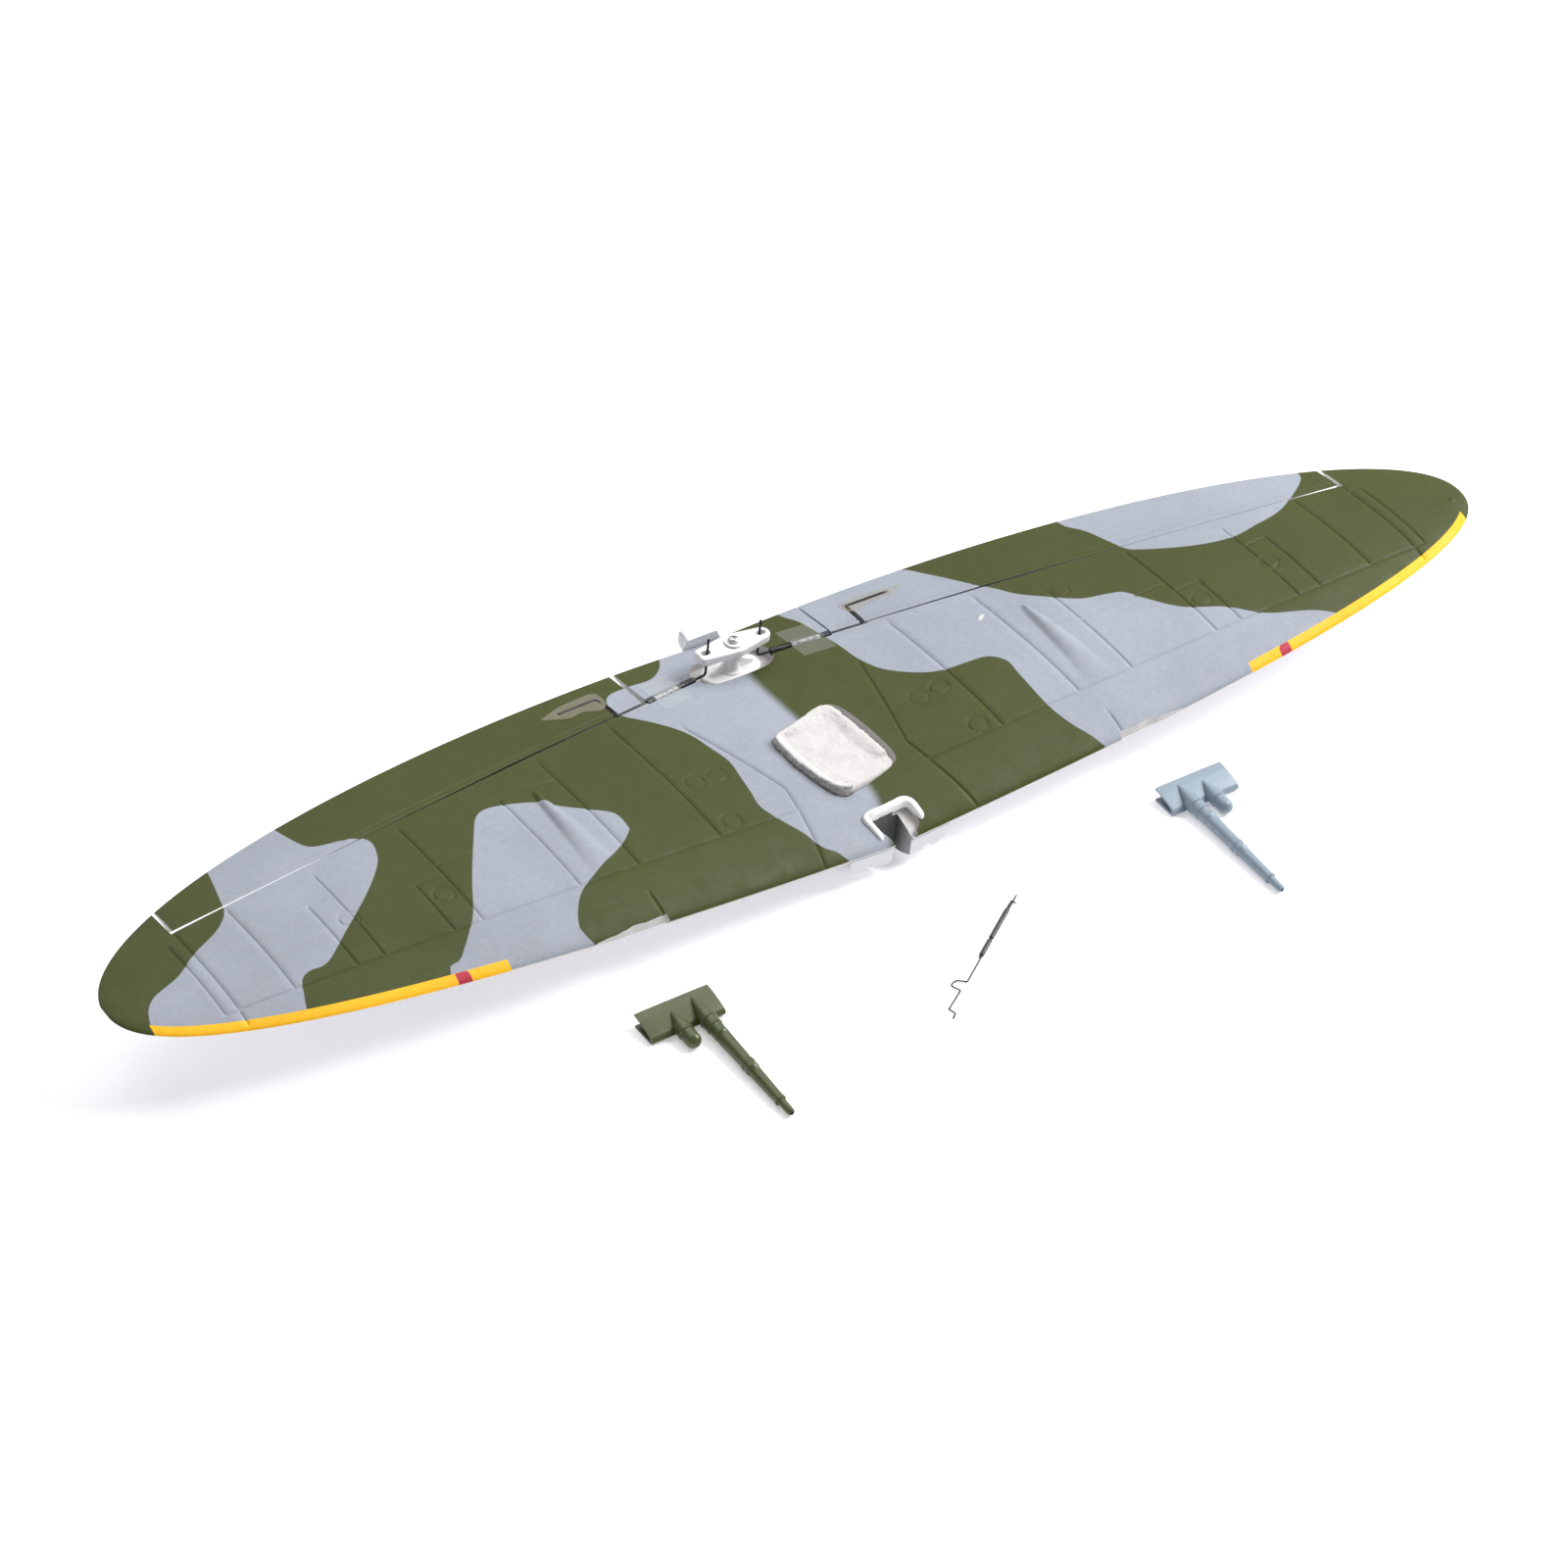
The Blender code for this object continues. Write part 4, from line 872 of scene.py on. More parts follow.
def outline_distance(x, y, outline, reach=4.0):
    """Signed distance of plan points from a closed outline, positive inside and never beyond reach."""
    order = np.argsort(x)
    px, py = x[order], y[order]
    found = np.full(len(x), reach**2)
    inside = np.zeros(len(x), bool)
    curve = smooth_closed(outline, 1.1)
    for (ax, ay), (bx, by) in zip(curve, np.roll(curve, -1, axis=0)):
        run_x, run_y = bx - ax, by - ay
        length = run_x**2 + run_y**2
        if length < 1e-12:
            continue
        near = slice(*np.searchsorted(px, (min(ax, bx) - reach, max(ax, bx) + reach)))
        share = np.clip(((px[near] - ax) * run_x + (py[near] - ay) * run_y) / length, 0.0, 1.0)
        gap = (px[near] - ax - share * run_x) ** 2 + (py[near] - ay - share * run_y) ** 2
        found[near] = np.minimum(found[near], gap)
        below = slice(*np.searchsorted(px, (min(ax, bx), max(ax, bx))))
        inside[below] ^= py[below] < ay + (px[below] - ax) * run_y / (run_x or 1.0)
    signed = np.empty(len(x))
    signed[order] = np.where(inside, 1, -1) * np.sqrt(found)
    return signed


def within(value, low, high):
    """How far a value is inside a range, negative outside."""
    return np.minimum(value - low, high - value)


def paint(obj):
    """Stores on the skin how deep each point lies in each paint area, in millimetres."""
    x, y, z = (values(obj.data.vertices, "co") / MM - DATUM).T
    above = z - middle_and_half(x, y)[0]
    areas = [outline_distance(x, y, o) for o in (GREEN_RIGHT_TIP, GREEN_CENTRE, GREEN_LEFT)]
    main = np.minimum(outline_distance(x, y, GREEN_RIGHT), -outline_distance(x, y, GREY_ISLAND))
    green = np.maximum.reduce([*areas, main])
    green = np.where((np.abs(x) < SOFT_EDGE_X) & (y < 45), green * 0.09, green)

    across, grid = np.abs(x), np.arange(0.0, 205.0)
    lean = np.hypot(1.0, np.interp(across, grid, np.gradient(front_y(grid))))
    from_edge = (y - front_y(x)) / lean
    stripe = np.minimum(STRIPE_WIDTH - from_edge, within(across, *STRIPE_X))
    stripe = np.minimum(stripe, above + 0.9)
    bare = np.where(across < STRIPE_X[0], within(above, -1.2, 0.22), -1.0)
    chip = 0.55 - segment_distance(x, y, (62.6, 21.6), (64.4, 22.8))
    store(obj, "green", green)
    store(obj, "stripe", stripe)
    store(obj, "mark", np.minimum(stripe, within(across, *MARK_X)))
    store(obj, "under", -above - 0.35 * np.clip(1.5 - from_edge / 3.0, 0.0, 1.0))
    store(obj, "bare", np.maximum(np.minimum(bare, 0.8 - from_edge), np.where(above > 0, chip, -1.0)))


def mark_depth(obj):
    """Stores how deep inside the nose notch each point lies, from 0 at its mouth to 1 at its back; this depth
    sets the painted shade inside the notch.
    """
    y = values(obj.data.vertices, "co")[:, 1] / MM - DATUM[1]
    store(obj, "inside", np.clip((y + 31.5) / 7.0, 0.0, 1.0))


def cut_walls(obj, finish_of):
    """Gives each cut face, which was never skin, the material that finish_of(x, y, z) says for its middle."""
    mesh = obj.data
    skin = values(mesh.attributes["skin"].data, "value", 1)[:, 0]
    finish = finish_of(*(values(mesh.polygons, "center") / MM - DATUM).T)
    mesh.polygons.foreach_set("material_index", np.where(skin < 0.5, finish, 0).astype(np.int32))


def wall_finish(x, y, z):
    """0 for the painted grooves and hinge slit, 1 for bare foam, 2 for the grey paint with painted shade
    inside the notch.
    """
    across = np.abs(x)
    notch = (across < 5.6) & (y < NOTCH_BACK_Y + 0.1) & (z < skin_z(x, y) - 0.2) & ~((x > 3.6) & (z > 0.5))
    foam = (across < 13.9) | (across > 166) | (y < -25) | (across < AILERON_X[0] + 0.1) & (x < 0) & (y > 44)
    return np.where(notch, 2, np.where(foam, 1, 0))


def make_wing(painted, bare, shaded):
    columns = span_columns()
    core = wing_blank("wing_core_blank", np.concatenate([-columns[:0:-1], columns]), relief)
    cutters = [
        prism("belly_seat", belly_outline(BELLY_GAP), -20.0, BELLY_TOP_Z + BELLY_GAP),
        prism("saddle_seat", smooth_closed(RECESS_OUTLINE, 0.9), SADDLE_SEAT_Z, 20.0),
        prism("bellcrank_pocket", stadium(PIVOT, POCKET), POCKET_FLOOR_Z, 20.0),
        prism("nose_notch", np.array(NOTCH_OUTLINE), -20.0, 20.0),
        ledge_cutter(),
    ]
    for side in (1, -1):
        cutters += [aileron_block(side, False), spar_slot(side), leading_edge_seat(side), *wing_grooves(side)]
    boolean(core, joined(cutters))
    paint(core)
    mark_depth(core)
    piece(core, "wing_skin", "wing", ["wing_core"], painted, bare, shaded, angle=45)
    cut_walls(core, wall_finish)

    part = columns[(columns > AILERON_X[0] - 1.5) & (columns < AILERON_X[1] + 1.5)]
    for label, side in (("left", 1), ("right", -1)):
        body = f"{label}_aileron"
        aileron = wing_blank(body, part if side > 0 else -part[::-1], bevel)
        boolean(aileron, aileron_block(side, True), "INTERSECT")
        boolean(aileron, aileron_grooves(side))
        paint(aileron)
        piece(aileron, f"{body}_skin", body, [body], painted, bare, angle=45)
        cut_walls(aileron, lambda x, y, z: np.where(np.abs(x) > 166, 1, 0))


# ---- Centre section ----


def saddle_top(x, y, inset):
    """Height of the pad's top: a dished seat inside a raised edge that stops short along the front."""
    step_x, step_y = SADDLE_STEP
    edge_z = SADDLE_TOP_Z - 0.35 - 0.022 * (x + 10.0)
    seat_z = SADDLE_TOP_Z - 1.6 - 0.2 * np.clip(-11.2 + 0.17 * (x + 2.3) - y, 0.0, None)
    slope = np.clip((inset - 0.9) / np.interp(x, (-6.0, 4.0), (2.2, 4.8)), 0.0, 1.0)
    slope = slope * slope * (3 - 2 * slope)
    open_front = np.clip((x - step_x) / 0.35, 0.0, 1.0) * np.clip((step_y - y) / 0.7, 0.0, 1.0)
    raised = (1 - slope) * (1 - open_front)
    ring = np.clip(np.abs(np.hypot(x - SADDLE_RING[0], y - SADDLE_RING[1]) - SADDLE_RING[2]) / 0.45, 0.0, 1.0)
    return seat_z + (edge_z - seat_z) * raised - 0.08 * (1 - ring)


def make_saddle(bare):
    """The cut foam block: rough walls, a ragged raised edge and a smooth dished seat."""
    outline = resampled(smooth_closed(SADDLE_OUTLINE, 0.4), 300)
    centre = outline.mean(axis=0)
    reach = np.linalg.norm(outline - centre, axis=1)
    seat = SADDLE_SEAT_Z + 0.25
    edge_z = saddle_top(*outline.T, 0.0)
    rings = []
    for s in np.linspace(0, 1, 16):
        swell = 1 + 0.25 * sin(pi * s) / reach
        ring = centre + (outline - centre) * swell[:, None]
        rings.append(np.column_stack([ring, seat + (edge_z - 0.3 - seat) * s]))
    for inset in np.concatenate([np.linspace(0.08, 1.3, 9), np.linspace(1.5, 8.0, 30)]):
        share = np.maximum(1 - inset / reach, 0.02 + 0.3 * (1 - inset / 8.0))
        ring = centre + (outline - centre) * share[:, None]
        z = saddle_top(*ring.T, (1 - share) * reach)
        rings.append(np.column_stack([ring, z - 0.3 * max(1 - inset / 0.3, 0.0)]))
    last = ring
    for share in (0.66, 0.33, 0.05):
        ring = centre + (last - centre) * share
        rings.append(np.column_stack([ring, saddle_top(*ring.T, 9.0)]))
    obj = loft("saddle_blank", rings)
    step_x, top = DATUM[0] + SADDLE_STEP[0], DATUM[2] + SADDLE_TOP_Z - 1.2

    def wall(place, normal, steep=0.75):
        """Whether a point is on the torn walls, which leave out the open front."""
        return abs(normal.z) < steep and not (normal.y < -0.6 and place.x / MM > step_x)

    store(obj, "torn", [wall(vertex.co, vertex.normal, 0.6) for vertex in obj.data.vertices])
    roughen(obj, 0.28, 1.1, 3.0, wall)
    roughen(obj, 0.13, 1.4, 6.0, lambda place, normal: place.z / MM > top and abs(normal.z) < 0.97)
    roughen(obj, 0.02, 0.9, 8.0)
    roughen(obj, 0.13, 6.0, 1.0)
    piece(obj, "saddle_foam", "wing", ["saddle_pad"], bare, angle=60)


def make_rim(white):
    """The moulded key round the nose notch: a bead that stands tall across the back, with two low arms."""
    corners = [(-4.7, -30.2, 0), (-6.1, -23.7, 0), (7.4, -23.1, 0), (8.1, -29.2, 0)]
    path = finer(rounded_path(corners, (1.3, 3.4), 14), 0.3)
    along = lengths(path) / lengths(path)[-1]
    rise = np.interp(along, (0, 0.2, 0.27, 0.33, 0.7, 0.85, 1.0), (0.75, 1.0, 1.15, 1.75, 1.7, 1.5, 1.1))
    half = np.interp(along, (0, 0.22, 0.3, 0.75, 1.0), (0.72, 0.8, 1.05, 1.1, 0.85))
    arch = [(copysign(abs(cos(a)) ** 0.55, cos(a)), max(sin(a), 0.0) ** 0.6)
            for a in np.linspace(0, pi, 15)]
    rings, last = [], len(path) - 1
    for i, (place, tall, wide) in enumerate(zip(path, rise, half)):
        run = unit(path[min(i + 1, last)] - path[max(i - 1, 0)])
        end = min(min(i, last - i) * 0.3 + 0.06, 1.0)
        shrink = sqrt(1 - (1 - end) ** 2)
        wide, tall, base = wide * shrink, tall * shrink, float(skin_z(*place[:2]))
        shape = [(wide, -0.6), *((wide * u, tall * v) for u, v in arch), (-wide, -0.6)]
        rings.append([(place[0] + run[1] * u, place[1] - run[0] * u, base + v) for u, v in shape])
    obj = loft("rim_blank", rings)
    roughen(obj, 0.05, 1.6, 5.0)
    piece(obj, "nose_key_bead", "wing", ["nose_key_rim"], white, angle=60)


def belly_ring(y, half, bottom, top, crease=0.0, rounding=0.5):
    """One upright section: straight upper sides that round into a flat bottom, pinched by crease between the
    lobes at the front."""
    reach, rise = rounding * half, 1.7 * rounding * (top - bottom)
    right = [(half - 0.35, top), (half, top - 0.35)]
    right += [(half - reach * (1 - cos(a)), bottom + rise * (1 - sin(a)))
              for a in np.linspace(0, 0.5 * pi, 14)]
    right += [((half - reach) * s, bottom) for s in (0.86, 0.72, 0.55, 0.3)]
    right = [(x, z + crease * max(1 - abs(x - CHEEK_X) / 1.5, 0.0) * (z < top - 1.0)) for x, z in right]
    across = [(x, top) for x in np.linspace(-0.9, 0.9, 19) * (half - 0.35)]
    return np.array([(x, y, z) for x, z in right + [(-x, z) for x, z in reversed(right)] + across])


def make_belly(paint_finish, shaded):
    ys, halves, bottoms = np.array(BELLY_SECTIONS).T
    stations = np.concatenate([np.linspace(-31.4, -24, 18), np.linspace(-23, 56.1, 44)])
    half, bottom = np.interp(stations, ys, halves), np.interp(stations, ys, bottoms)
    for _ in range(3):
        for run in (half, bottom):
            run[1:-1] = np.convolve(run, (0.25, 0.5, 0.25), "valid")
    bottom = np.maximum(bottom, -9.0)
    crease = np.interp(stations, (-31.4, -26.5), (2.6, 0.0))
    rings = [belly_ring(y, h, b, BELLY_TOP_Z, c) for y, h, b, c in zip(stations, half, bottom, crease)]
    for ring in rings[:18]:
        x, y, z = ring.T.copy()
        touching = (z > BELLY_TOP_Z - 0.6) & (y > front_y(x) + 0.1)
        under = skin_z(x, y, -1) - 0.03 + np.minimum(z - BELLY_TOP_Z, 0.0)
        ring[:, 2] = np.where(touching, np.maximum(z, under), z)
    ys, halves, bottoms = np.array(TONGUE_SECTIONS).T
    rings += [belly_ring(y, np.interp(y, ys, halves), np.interp(y, ys, bottoms), TONGUE_TOP_Z, 0.0, 0.12)
              for y in np.linspace(56.2, 60.6, 12)]
    obj = loft("belly_blank", rings)
    store(obj, "skin", np.ones(len(obj.data.polygons)), "FACE")
    boolean(obj, prism("notch", np.array(NOTCH_OUTLINE), -20.0, 20.0))
    mark_depth(obj)
    piece(obj, "belly_shell", "wing", ["belly_fairing"], paint_finish, shaded, slot="belly_foam", angle=50)
    cut_walls(obj, lambda x, y, z: np.ones(len(x)))


def bored(obj, radius, low=0.0):
    boolean(obj, prism("bore", circle(PIVOT, radius, 24), low, 20.0))


def make_bellcrank(white, steel):
    px, py = PIVOT
    low, high = CARRIER_Z
    carrier = rounded_prism("carrier_blank", resampled(stadium(PIVOT, CARRIER), 96), low, high, 0.3)
    parts = [rounded_prism("post", circle(PIVOT, 2.1, 40), low + 0.3, 7.8, 0.25)]
    parts.append(rounded_prism("foot", circle(PIVOT, 2.9, 40), low + 0.2, high + 0.5, 0.4))
    for reach in (-1, 1):
        ends = [(px + reach * 0.2, 5.4), (px + reach * 6.5, 2.4)]
        parts.append(loft("rib", [[(x, py - 0.5, low + 0.3), (x, py + 0.5, low + 0.3), (x, py + 0.38, top),
                                   (x, py - 0.38, top)] for x, top in ends]))
    for made in parts:
        boolean(carrier, made, "UNION")
    bored(carrier, 0.8, 3.2)
    piece(carrier, "crank_carrier", "wing", ["bellcrank_carrier"], white, angle=35)

    rounds = [circle((0, 0), 3.75, 64), circle((8.7, 0), 2.2, 48)]
    rounds += [circle((-9.9, s * 1.5), 0.8, 32) for s in (-1, 1)]
    outline = resampled(hull(np.concatenate(rounds)) + PIVOT, 150)
    arm = rounded_prism("arm_blank", outline, *ARM_Z, 0.38, 5)
    bored(arm, 0.95)
    boolean(arm, turned("dish", (*PIVOT, ARM_Z[1] - 0.14), (0, 0, 1), ((0, 2.72), (1, 2.72)), 48, 2.5))
    for side in (1, -1):
        boolean(arm, prism("slot", stadium((px + side * 8.5, py), (2.8, 1.8), 24), 0.0, 20.0))
    piece(arm, "crank_arm", "bellcrank", ["bellcrank_arm"], white, angle=35)

    washer = rounded_prism("washer_blank", circle(PIVOT, 2.4, 48), 10.5, 10.9, 0.12)
    bored(washer, 0.8)
    piece(washer, "crank_washer", "wing", ["pivot_washer"], white, angle=35)

    profile = [(0.0, 0.15), (0.8, 0.5)]
    for i in range(9):
        profile += [(0.95 + 0.55 * i, 0.47), (1.2 + 0.55 * i, 0.62)]
    profile += [(6.6, 0.5), (7.45, 0.6), (7.46, 1.4), (7.55, 1.45), (7.9, 1.42), (8.15, 1.2), (8.3, 0.85),
                (8.35, 0.4)]
    screw = turned("screw_blank", (*PIVOT, 3.6), (0, 0, 1), profile, 36)
    for wide, deep in ((1.7, 0.34), (0.34, 1.7)):
        corners = [(px + a * wide / 2, py + b * deep / 2) for a, b in ((-1, -1), (1, -1), (1, 1), (-1, 1))]
        boolean(screw, prism("recess", np.array(corners), 11.45, 13.0))
    piece(screw, "crank_screw", "wing", ["pivot_screw"], steel, angle=35)


# ---- Torque rods ----


def shrunk(length, radius, seed, steps=34):
    """Profile of a shrunk sleeve: rolled ends and uneven folds along it."""
    found = [(0.0, radius * 0.86), (0.06, radius * 0.97)]
    for s in np.linspace(0.12, length - 0.12, steps):
        fold = waver(s * 1.7, seed, 0.0) * 0.07
        fold += waver(s * 6.0, seed, 4.0) * 0.02
        found.append((s, radius * (0.97 + fold) if 0.3 < s < length - 0.3 else radius))
    return found + [(length - 0.06, radius * 0.97), (length, radius * 0.86)]


def make_rods(wire, sleeve, tube, film, glue):
    for seed, (label, side) in enumerate((("left", 1), ("right", -1))):
        body = f"{label}_aileron"
        path = finer(rounded_path(rod_points(side), ROD_BEND, 8), 0.8)
        rod = sweep("rod_blank", path, lambda s: ROD_RADIUS * (1 + 0.02 * sin(s * 3)), 16, end_round=0.5)
        piece(rod, f"{label}_rod", body, [f"{label}_torque_rod"], wire, angle=50)
        spans = {"inner_sleeve": INNER_SLEEVE, "outer_sleeve": OUTER_SLEEVE, "bearing_tube": TUBE}
        for name, (inner, outer, radius, bore) in spans.items():
            start, end = hinge_point(inner, side), hinge_point(outer, side)
            length = np.linalg.norm(end - start)
            profile, owner, finish, slot = shrunk(length, radius, seed * 7.0 + inner), body, sleeve, None
            if name == "bearing_tube":
                places, owner, finish, slot = (0.0, 0.1, length - 0.1, length), "wing", tube, name
                radii = (radius * 0.9, radius, radius, radius * 0.9)
                profile = [(s, np.interp(s, places, radii)) for s in np.linspace(0, length, 40)]
            made = turned("tube_blank", start, end - start, profile, 28, bore)
            piece(made, f"{label}_{name}_skin", owner, [f"{label}_{name}"], finish, slot=slot)
        make_tape(label, side, film)
        make_glue(label, side, glue)


def make_tape(label, side, film):
    """Clear tape over the bearing, with a slightly lifted, uneven edge."""
    columns, rows = 30, 44
    reach = TUBE[2] + 0.35
    rings = []
    for i in range(columns + 1):
        u = i / columns - 0.5
        x = (TUBE[0] + TUBE[1]) / 2 + u * TAPE_SIZE[0]
        axis = hinge_point(x)
        ring = []
        for j in range(rows + 1):
            v = TAPE_SIZE[1] * (j / rows - 0.5)
            y = axis[1] + v
            arch = axis[2] + sqrt(reach**2 - v**2) if abs(v) < reach else -99.0
            skin = float(skin_z(x, y)) + TAPE_LIFT - 0.18
            edge = max(abs(u) * 2, abs(v) / TAPE_SIZE[1] * 2)
            lift = 0.16 * max(edge - 0.9, 0) / 0.1 * (0.6 + waver(x, y, side))
            z = max(skin, arch) + 0.02 + 0.04 * waver(x * 0.8, y * 0.8, side * 2.0) + lift
            ring.append((side * x, y, z))
        rings.append(ring + [(x, y, z + TAPE_THICKNESS * 0.6) for x, y, z in ring[::-1]])
    piece(loft("tape_blank", rings), f"{label}_tape_film", "wing", [f"{label}_bearing_tape"], film, angle=50)


def make_glue(label, side, glue):
    """The clear pool of glue that holds the rod's outer end in the aileron, fuller on the right wing."""
    centre = np.array(GLUE_MIDDLE) * (side, 1)
    outline = smooth_closed(GLUE_OUTLINE, 0.6) * (side, 1) - centre
    if side > 0:
        outline = outline * (1.0, 0.72)
    rings = []
    for share, lift in GLUE_LAYERS:
        ring = centre + outline * share
        rings.append(np.column_stack([ring, skin_z(*ring.T) + lift]))
    obj = loft("glue_blank", rings)
    piece(obj, f"{label}_rod_glue", f"{label}_aileron", [], glue, slot="clear_tape", angle=60)


# ---- Loose pieces ----


def clip_profile():
    """Side view of the clip as (distance behind its nose, height): an open C in one thin wall."""
    nose = CLIP_NOSE_Z
    upper = [(0.0, nose * 0.5), (0.25, nose * 0.85), (1.0, nose * 1.15), (3.2, nose + 0.9),
             (5.8, CLIP_HEIGHT - 0.25), (CLIP_DEPTH, CLIP_HEIGHT)]
    inner = [(CLIP_DEPTH, CLIP_HEIGHT - CLIP_WALL), (5.8, CLIP_HEIGHT - 0.3 - CLIP_WALL),
             (3.2, nose + 0.75 - CLIP_WALL), (1.5, nose * 1.02 - CLIP_WALL), (1.2, nose * 0.5),
             (1.6, CLIP_WALL), (CLIP_DEPTH - 0.8, CLIP_WALL)]
    lower = [(CLIP_DEPTH - 0.8, 0.0), (1.2, 0.0), (0.3, nose * 0.2)]
    return np.concatenate([finer(np.array(run), 0.5) for run in (upper, inner, lower)])


def cone_fairing(start, radius, length):
    """The half cone that runs back from a tube over the clip, to a point."""
    rings = []
    for s in np.linspace(0, 1, 14):
        centre = start + np.array((0, length * s - 0.6, 1.15 * s - 0.2 * s**2))
        ring = circle((centre[0], centre[2]), radius * max(1 - s, 0.0) ** 0.75 + 0.05, 32)
        rings.append([(x, centre[1], z) for x, z in ring])
    return loft("cone", rings)


def make_cannon(label, place, inboard, finish):
    """A clip that snaps over the leading edge, with the long barrel inboard and a domed stub outboard."""
    x0, y0 = place
    ground = -DATUM[2]
    profile = clip_profile()
    rings = []
    for u in np.linspace(-0.5, 0.5, 40):
        x, sag = x0 + u * CLIP_WIDTH, 0.09 * (2 * abs(u)) ** 6
        rings.append([(x, y0 + back, z + ground - (sag if z > 2.2 else 0)) for back, z in profile])
    clip = loft("clip_blank", rings)
    base_z, muzzle_z = BARREL_AXIS_Z
    start = np.array((x0 + inboard * BARREL_OFFSET, y0, base_z + ground))
    muzzle = np.array((start[0], y0 - BARREL_PROFILE[-1][0], muzzle_z + ground))
    barrel = turned("barrel", start, muzzle - start, finer(np.array(BARREL_PROFILE), 1.2), 48)
    bore = ((0, 0.5), (2.0, 0.5))
    boolean(barrel, turned("muzzle_bore", muzzle + (0, 0.9, 0.03), muzzle - start, bore, 24))
    boolean(clip, cone_fairing(start, 2.28, 7.4), "UNION")
    boolean(clip, barrel, "UNION")
    dome = [(STUB_PROFILE[-1][0] + STUB_DOME * sin(a), STUB_DOME * cos(a))
            for a in np.linspace(0, 0.49 * pi, 14)[1:]]
    stub_start = np.array((x0 - inboard * STUB_OFFSET, y0, base_z - 0.3 + ground))
    stub = turned("stub", stub_start, (0, -1, -0.03), [*finer(np.array(STUB_PROFILE), 1.2), *dome], 48)
    boolean(clip, cone_fairing(stub_start, 2.08, 6.0), "UNION")
    boolean(clip, stub, "UNION")
    name = f"{label}_cannon"
    piece(clip, f"{name}_shell", name, [f"{name}_fairing"], finish, angle=38)


def make_pushrod(wire, sleeve):
    """Two wires side by side in two shrink sleeves: one with the adjusting loop and Z bend, one hooked."""
    points = [np.array((x, y, PUSHROD_SLEEVE_RADIUS[1] - DATUM[2])) for x, y in MAIN_WIRE]
    start, along = points[0], unit(points[1] - points[0])
    aside = unit(np.cross(along, (0, 0, 1)))
    if (sum(cad_box("pushrod_hook_wire")) / 2 - start) @ aside < 0:
        aside = -aside
    gap = 2 * WIRE_RADIUS + 0.05
    near, far = (start + along * s + aside * gap for s in HOOK_WIRE_SPAN)
    paths = {"loop": rounded_path(points, (0.35, 1.25, 1.25, 0.35, 0.4, 0.4), 10),
             "hook": rounded_path([near + HOOK_LEG, near, far], 0.25, 8)}
    for name, path in paths.items():
        made = sweep("wire_blank", finer(path, 0.9), WIRE_RADIUS)
        name = f"pushrod_{name}"
        piece(made, name, "pushrod", [f"{name}_wire"], wire, slot="pushrod_wire", angle=50)
    for seed, (name, (near, far)) in enumerate(zip(("pushrod_front_sleeve", "pushrod_rear_sleeve"), SLEEVES)):
        path = finer(np.array([start + along * s + aside * gap / 2 for s in (near + 0.3, far - 0.3)]), 0.3)
        at, size = zip(*shrunk(far - near, 1.0, 11.0 + seed))
        made = sweep("sleeve_blank", path, lambda s: np.interp(s + 0.3, at, size), 24,
                     PUSHROD_SLEEVE_RADIUS, 0.25)
        piece(made, f"{name}_skin", "pushrod", [name], sleeve, angle=50)


# ---- Stage ----


def make_stage():
    n = Nodes("floor")
    glow = {"Emission_Color": (1.0, 0.965, 0.985), "Emission_Strength": 0.33}
    mesh = bpy.data.meshes.new("floor")
    mesh.from_pydata([(x * FLOOR_SIZE, y * FLOOR_SIZE, 0) for x, y in ((-1, -1), (1, -1), (1, 1), (-1, 1))],
                     [], [(0, 1, 2, 3)])
    mesh.materials.append(n.finish(n.varied((0.90, 0.90, 0.91), 0.004, 60.0), 0.7, **glow))
    placed("floor", mesh)


def softbox(name, place, size, power):
    """A soft light that faces the middle of the frame."""
    data = bpy.data.lights.new(name, "AREA")
    data.shape = "RECTANGLE"
    data.size, data.size_y = size
    data.energy = power
    obj = placed(name, data)
    obj.location = place
    obj.rotation_euler = (-Vector(place)).to_track_quat("-Z", "Y").to_euler()


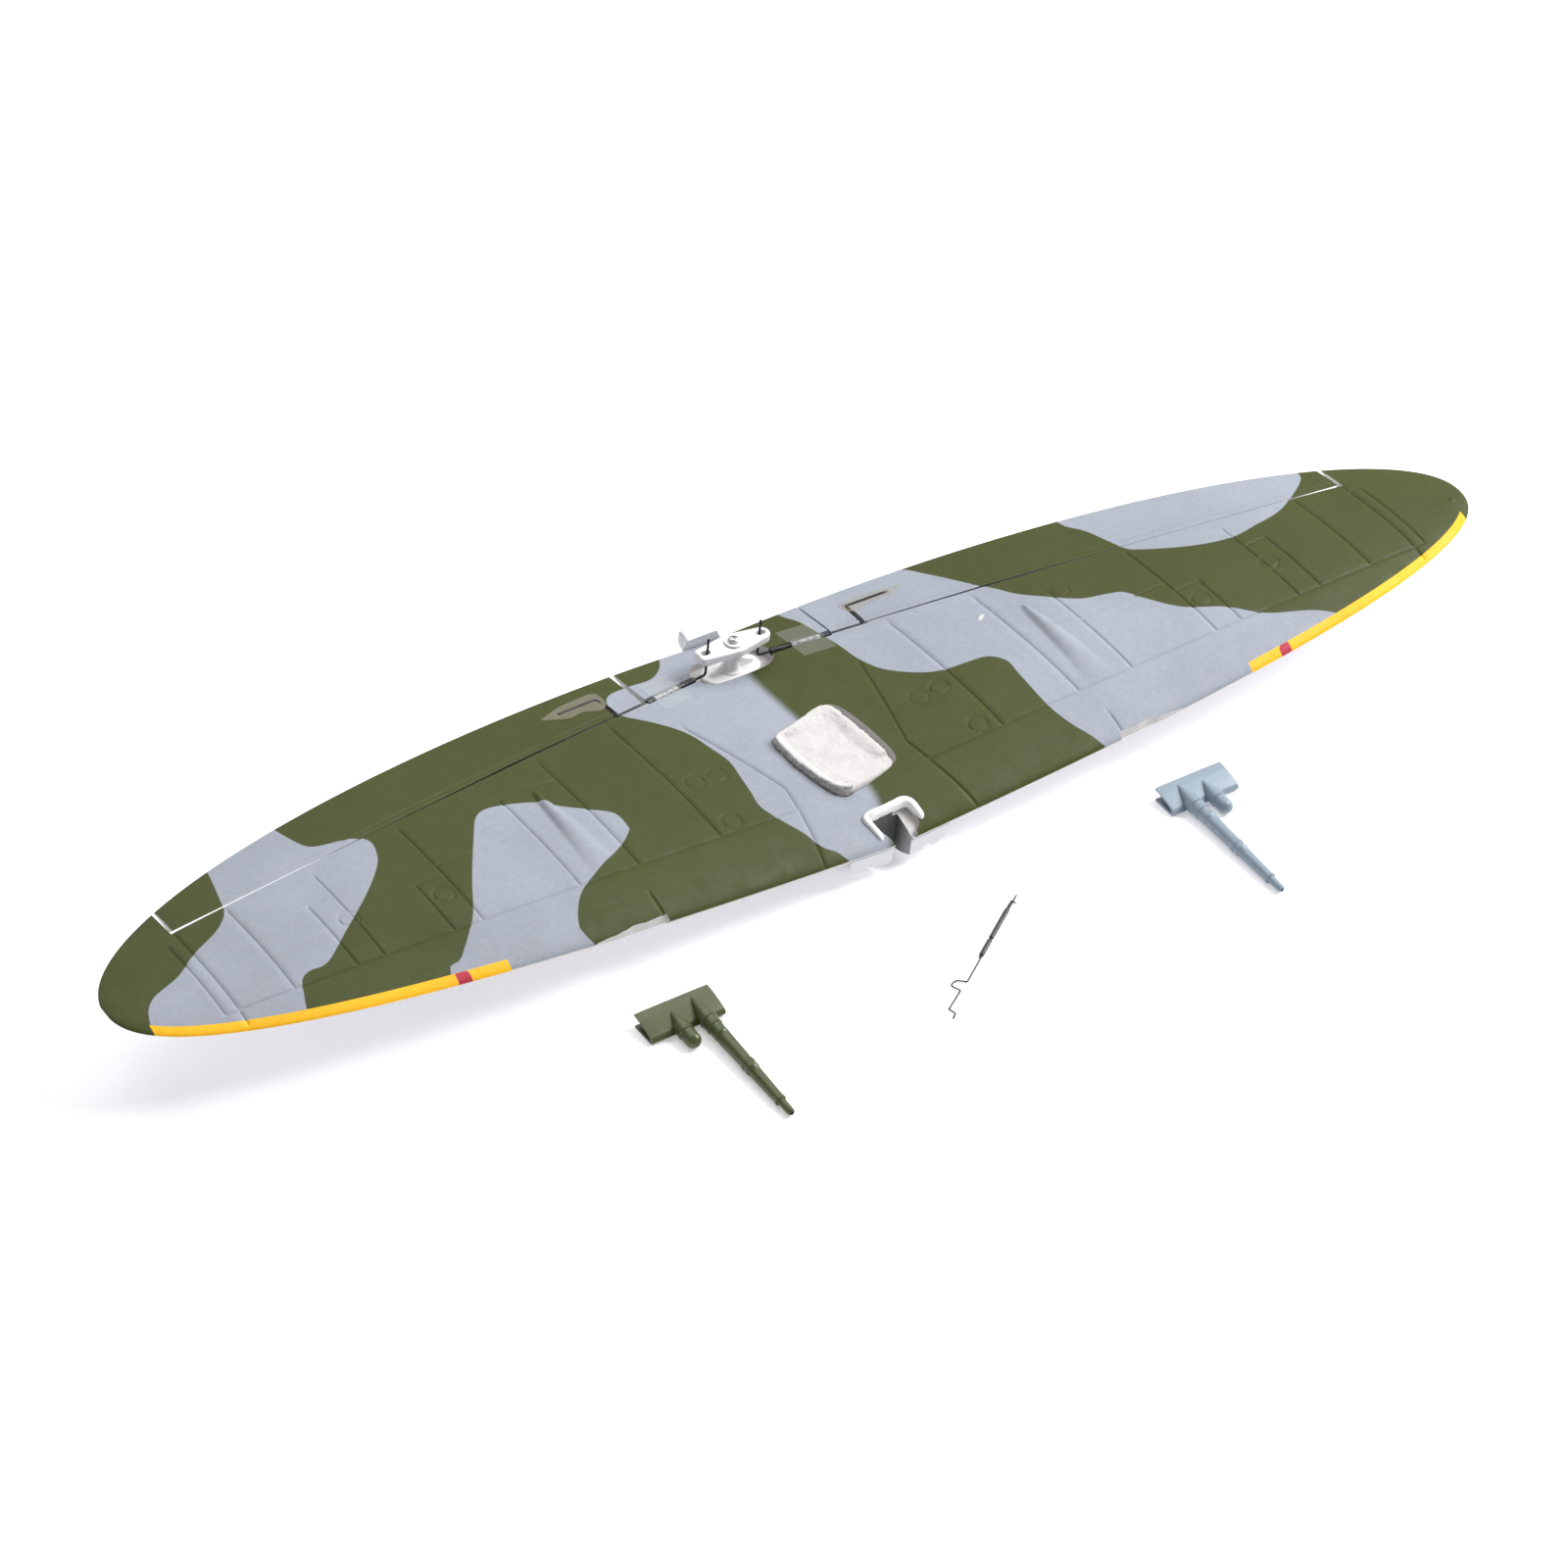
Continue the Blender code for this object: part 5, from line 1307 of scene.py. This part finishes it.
def make_lights():
    softbox("key", (1.2, -0.15, 1.1), (0.9, 0.9), 36)
    softbox("top", (0.2, 1.1, 1.5), (2.0, 1.2), 19)
    world = bpy.data.worlds.new("studio")
    world.use_nodes = True
    background = world.node_tree.nodes["Background"]
    background.inputs["Color"].default_value = (0.97, 0.97, 1.0, 1.0)
    background.inputs["Strength"].default_value = 0.38
    bpy.context.scene.world = world
    bpy.context.scene.view_settings.view_transform = "Standard"


def make_camera():
    """The photograph's view: from the front and right of the wing, above it, with a slight roll."""
    azimuth, elevation, roll = (radians(angle) for angle in CAMERA_ANGLES)
    back = Vector((sin(azimuth) * cos(elevation), -cos(azimuth) * cos(elevation),
                   sin(elevation)))
    right = Vector((cos(azimuth), sin(azimuth), 0))
    up = back.cross(right)
    across = right * cos(roll) + up * sin(roll)
    above = up * cos(roll) - right * sin(roll)
    data = bpy.data.cameras.new("camera")
    data.sensor_width = 36.0
    data.lens = CAMERA_LENS
    obj = placed("camera", data)
    rotation = Matrix((across, above, back)).transposed().to_4x4()
    obj.matrix_world = Matrix.Translation(Vector(CAMERA_AIM) + back * CAMERA_DISTANCE) @ rotation
    bpy.context.scene.camera = obj


def main():
    bare = bare_foam()
    white = plastic("white_plastic", (0.84, 0.84, 0.83), 0.28, 0.42)
    black = metal("black_wire", (0.022, 0.020, 0.022), 0.32, 0.75)
    sleeve = shrink_sleeve()
    shaded = notch_painted_shade()
    make_wing(painted_foam(), bare, shaded)
    make_saddle(bare)
    make_rim(white)
    make_belly(belly_paint(), shaded)
    make_bellcrank(white, metal("screw_steel", (0.42, 0.42, 0.43), 0.25, 1.0))
    make_rods(black, sleeve, clear_tube(), clear_film("clear_tape", (0.80, 0.82, 0.80), 0.05),
              clear_film("clear_glue", (0.46, 0.44, 0.35), 0.28))
    make_cannon("right", RIGHT_CANNON_AT, 1, plastic("cannon_green", (0.060, 0.073, 0.020), 0.3, 0.42))
    make_cannon("left", LEFT_CANNON_AT, -1, plastic("cannon_grey", (0.215, 0.275, 0.33), 0.34, 0.48))
    make_pushrod(black, sleeve)
    strip = carbon()
    for label in ("left", "right"):
        node = frame["nodes"][f"{label}_spar_strip"]
        node.data.materials.clear()
        node.data.materials.append(strip)
    make_stage()
    make_lights()
    make_camera()


main()
